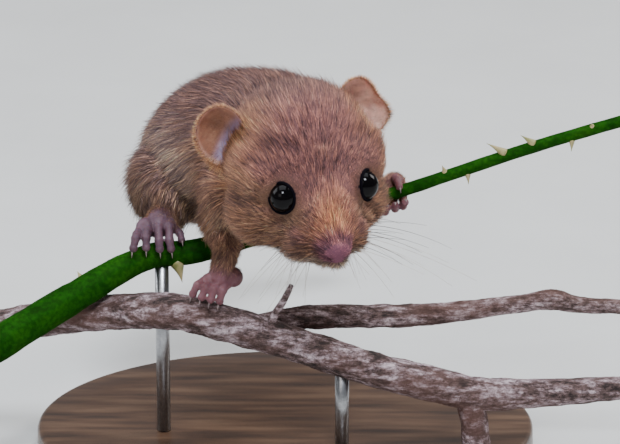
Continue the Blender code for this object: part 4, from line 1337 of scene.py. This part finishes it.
def wood_material():
    nodes = Nodes("plinth_wood")
    grain = nodes.noise(420.0, 5.0, 0.5, (0.12, 1.0, 1.0))
    tone = nodes.ramp(grain, [(0.32, (0.040, 0.022, 0.014)), (0.5, (0.085, 0.045, 0.026)),
                              (0.68, (0.135, 0.078, 0.046))])
    nodes.bump(grain, 0.25, 0.0001)
    return nodes.finish(tone, 0.36, Coat_Weight=0.25, Coat_Roughness=0.25)


def build_whiskers():
    """Long thin curved hairs from both sides of the muzzle, dark above and pale below."""
    dark, pale = [], []
    dice = np.random.default_rng(5)
    fans = ((-1.0, (24.0, 36.0, 48.0, 63.0, 80.0), (7.0, 8.0, 12.0, 10.0, 8.0), 1),
            (1.0, (0.0, 9.0, 19.0, 40.0, 66.0), (11.0, 13.0, 19.0, 10.0, 8.0), 2))
    for side, slopes, lengths, dark_rows in fans:
        for row in range(5):
            for column in range(5):
                root = head_spot(6.6 - column * 0.9, (2.6 + column * 0.45) * side,
                                 -4.6 - row * 0.75 - column * 0.12)
                slope = math.radians(slopes[row])
                out = np.array((side * math.cos(slope), 0.10 + 0.10 * column, -math.sin(slope)))
                out = unit(out + dice.normal(0.0, 0.07, 3))
                length = lengths[row] * dice.uniform(0.7, 1.2) * (0.85 + 0.08 * column)
                bend = np.array((0.0, 0.05, -1.0)) * dice.uniform(0.10, 0.34)
                shares = np.linspace(0.0, 1.0, 9)[:, None]
                curve = root - out * 0.6 + out * length * shares + bend * length * shares ** 2
                thin = np.linspace(0.058, 0.016, 9)
                (dark if row < dark_rows else pale).append(sweep(curve, thin, 4))
    for name, sweeps, low, high in (
            ("whiskers_dark", dark, (0.02, 0.014, 0.012), (0.05, 0.035, 0.03)),
            ("whiskers_pale", pale, (0.46, 0.40, 0.36), (0.74, 0.68, 0.64))):
        material = mottled(name, 600.0, 0.4, (0.3, low), (0.7, high))
        give(join_sweeps(name, sweeps), material, "fur_brown")


def mount(name, data, place, way):
    """Camera or light at a place, looking one way."""
    holder = link(bpy.data.objects.new(name, data))
    holder.location = place
    holder.rotation_euler = way.to_track_quat("-Z", "Y").to_euler()
    return holder


def build_camera():
    camera = bpy.data.cameras.new("camera")
    camera.lens = CAMERA_LENS
    camera.sensor_width = SENSOR_WIDTH
    camera.clip_start = 0.01
    back = Vector((0.0, -math.cos(CAMERA_ELEVATION), math.sin(CAMERA_ELEVATION)))
    place = Vector(VIEW_CENTRE) + back * CAMERA_DISTANCE
    bpy.context.scene.camera = mount("camera", camera, place, -back)


# Lights: name, place, size, power and colour
LIGHTS = [
    ("top", (0.0, 0.05, 0.75), (0.6, 0.5), 3.4, (0.88, 0.93, 1.0)),
    ("left", (-0.55, 0.12, 0.42), (0.4, 0.4), 2.8, (0.92, 0.95, 1.0)),
    ("right", (0.50, 0.22, 0.48), (0.3, 0.3), 3.4, (1.0, 0.97, 0.94)),
    ("front", (-0.22, -0.50, 0.38), (0.30, 0.24), 0.5, (1.0, 0.97, 0.94)),
    ("spark", (0.05, -0.42, 0.60), (0.16, 0.14), 4.8, (0.86, 0.92, 1.0)),
]


def build_studio():
    """Pale floor and soft light from above, in front and behind."""
    corners = np.array(((-3.0, -3.0, 0.0), (3.0, -3.0, 0.0), (3.0, 3.0, 0.0), (-3.0, 3.0, 0.0)))
    floor = object_from_arrays("floor", corners, np.array(((0, 1, 2, 3),)))
    floor.data.materials.append(mottled("floor_paper", 30.0, 0.8, (0.3, (0.60, 0.60, 0.585)),
                                        (0.7, (0.64, 0.64, 0.625))))
    for name, place, size, power, colour in LIGHTS:
        light = bpy.data.lights.new(name, "AREA")
        light.shape = "RECTANGLE"
        light.size, light.size_y = size
        light.energy = power
        light.color = colour
        mount(name, light, place, Vector(VIEW_CENTRE) - Vector(place))
    studio = bpy.data.worlds.new("studio")
    studio.use_nodes = True
    sky = studio.node_tree.nodes["Background"]
    sky.inputs["Color"].default_value = (0.80, 0.84, 0.90, 1.0)
    sky.inputs["Strength"].default_value = 0.26
    bpy.context.scene.world = studio


# The whole model, piece by piece
build_camera()
build_studio()
skin_data = build_body()
give(skin_data[0], skin_material(), "fur_brown", "head", "neck", "chest", "abdomen", "rump",
     "tail_base", "tail_middle", "tail_tip", "fore_leg_right", "fore_leg_left",
     "hind_leg_right", "hind_leg_left")
coat_fur = coat_material()
build_coat(skin_data, coat_fur)
lid_skin = mottled("lid_rim", 900.0, 0.8, (0.3, (0.0015, 0.0012, 0.002)),
                   (0.7, (0.004, 0.003, 0.006)), relief=(2400.0, 0.4, 0.00008),
                   Specular_IOR_Level=0.04)
for eye_side, eye_name in ((-1.0, "eye_right"), (1.0, "eye_left")):
    build_eye(eye_side, eye_name)
    build_lid_rim(eye_side, eye_name, lid_skin)
for ear_name in EARS:
    build_ear(ear_name, coat_fur)
hand_skin = paw_material("hand_skin", (0.105, 0.034, 0.040), (0.205, 0.090, 0.105))
# foot skin: mauve, and darker than the hand skin as painted shade
shaded_foot_skin = paw_material("shaded_foot_skin", (0.066, 0.031, 0.044), (0.140, 0.075, 0.102))
horn = mottled("claw_horn", 900.0, 0.3, (0.3, (0.17, 0.12, 0.12)), (0.7, (0.28, 0.21, 0.20)))
for paw_name in PAWS:
    build_paw(paw_name, shaded_foot_skin if paw_name.startswith("foot") else hand_skin, horn, coat_fur)
build_whiskers()
build_perches()
build_stand()
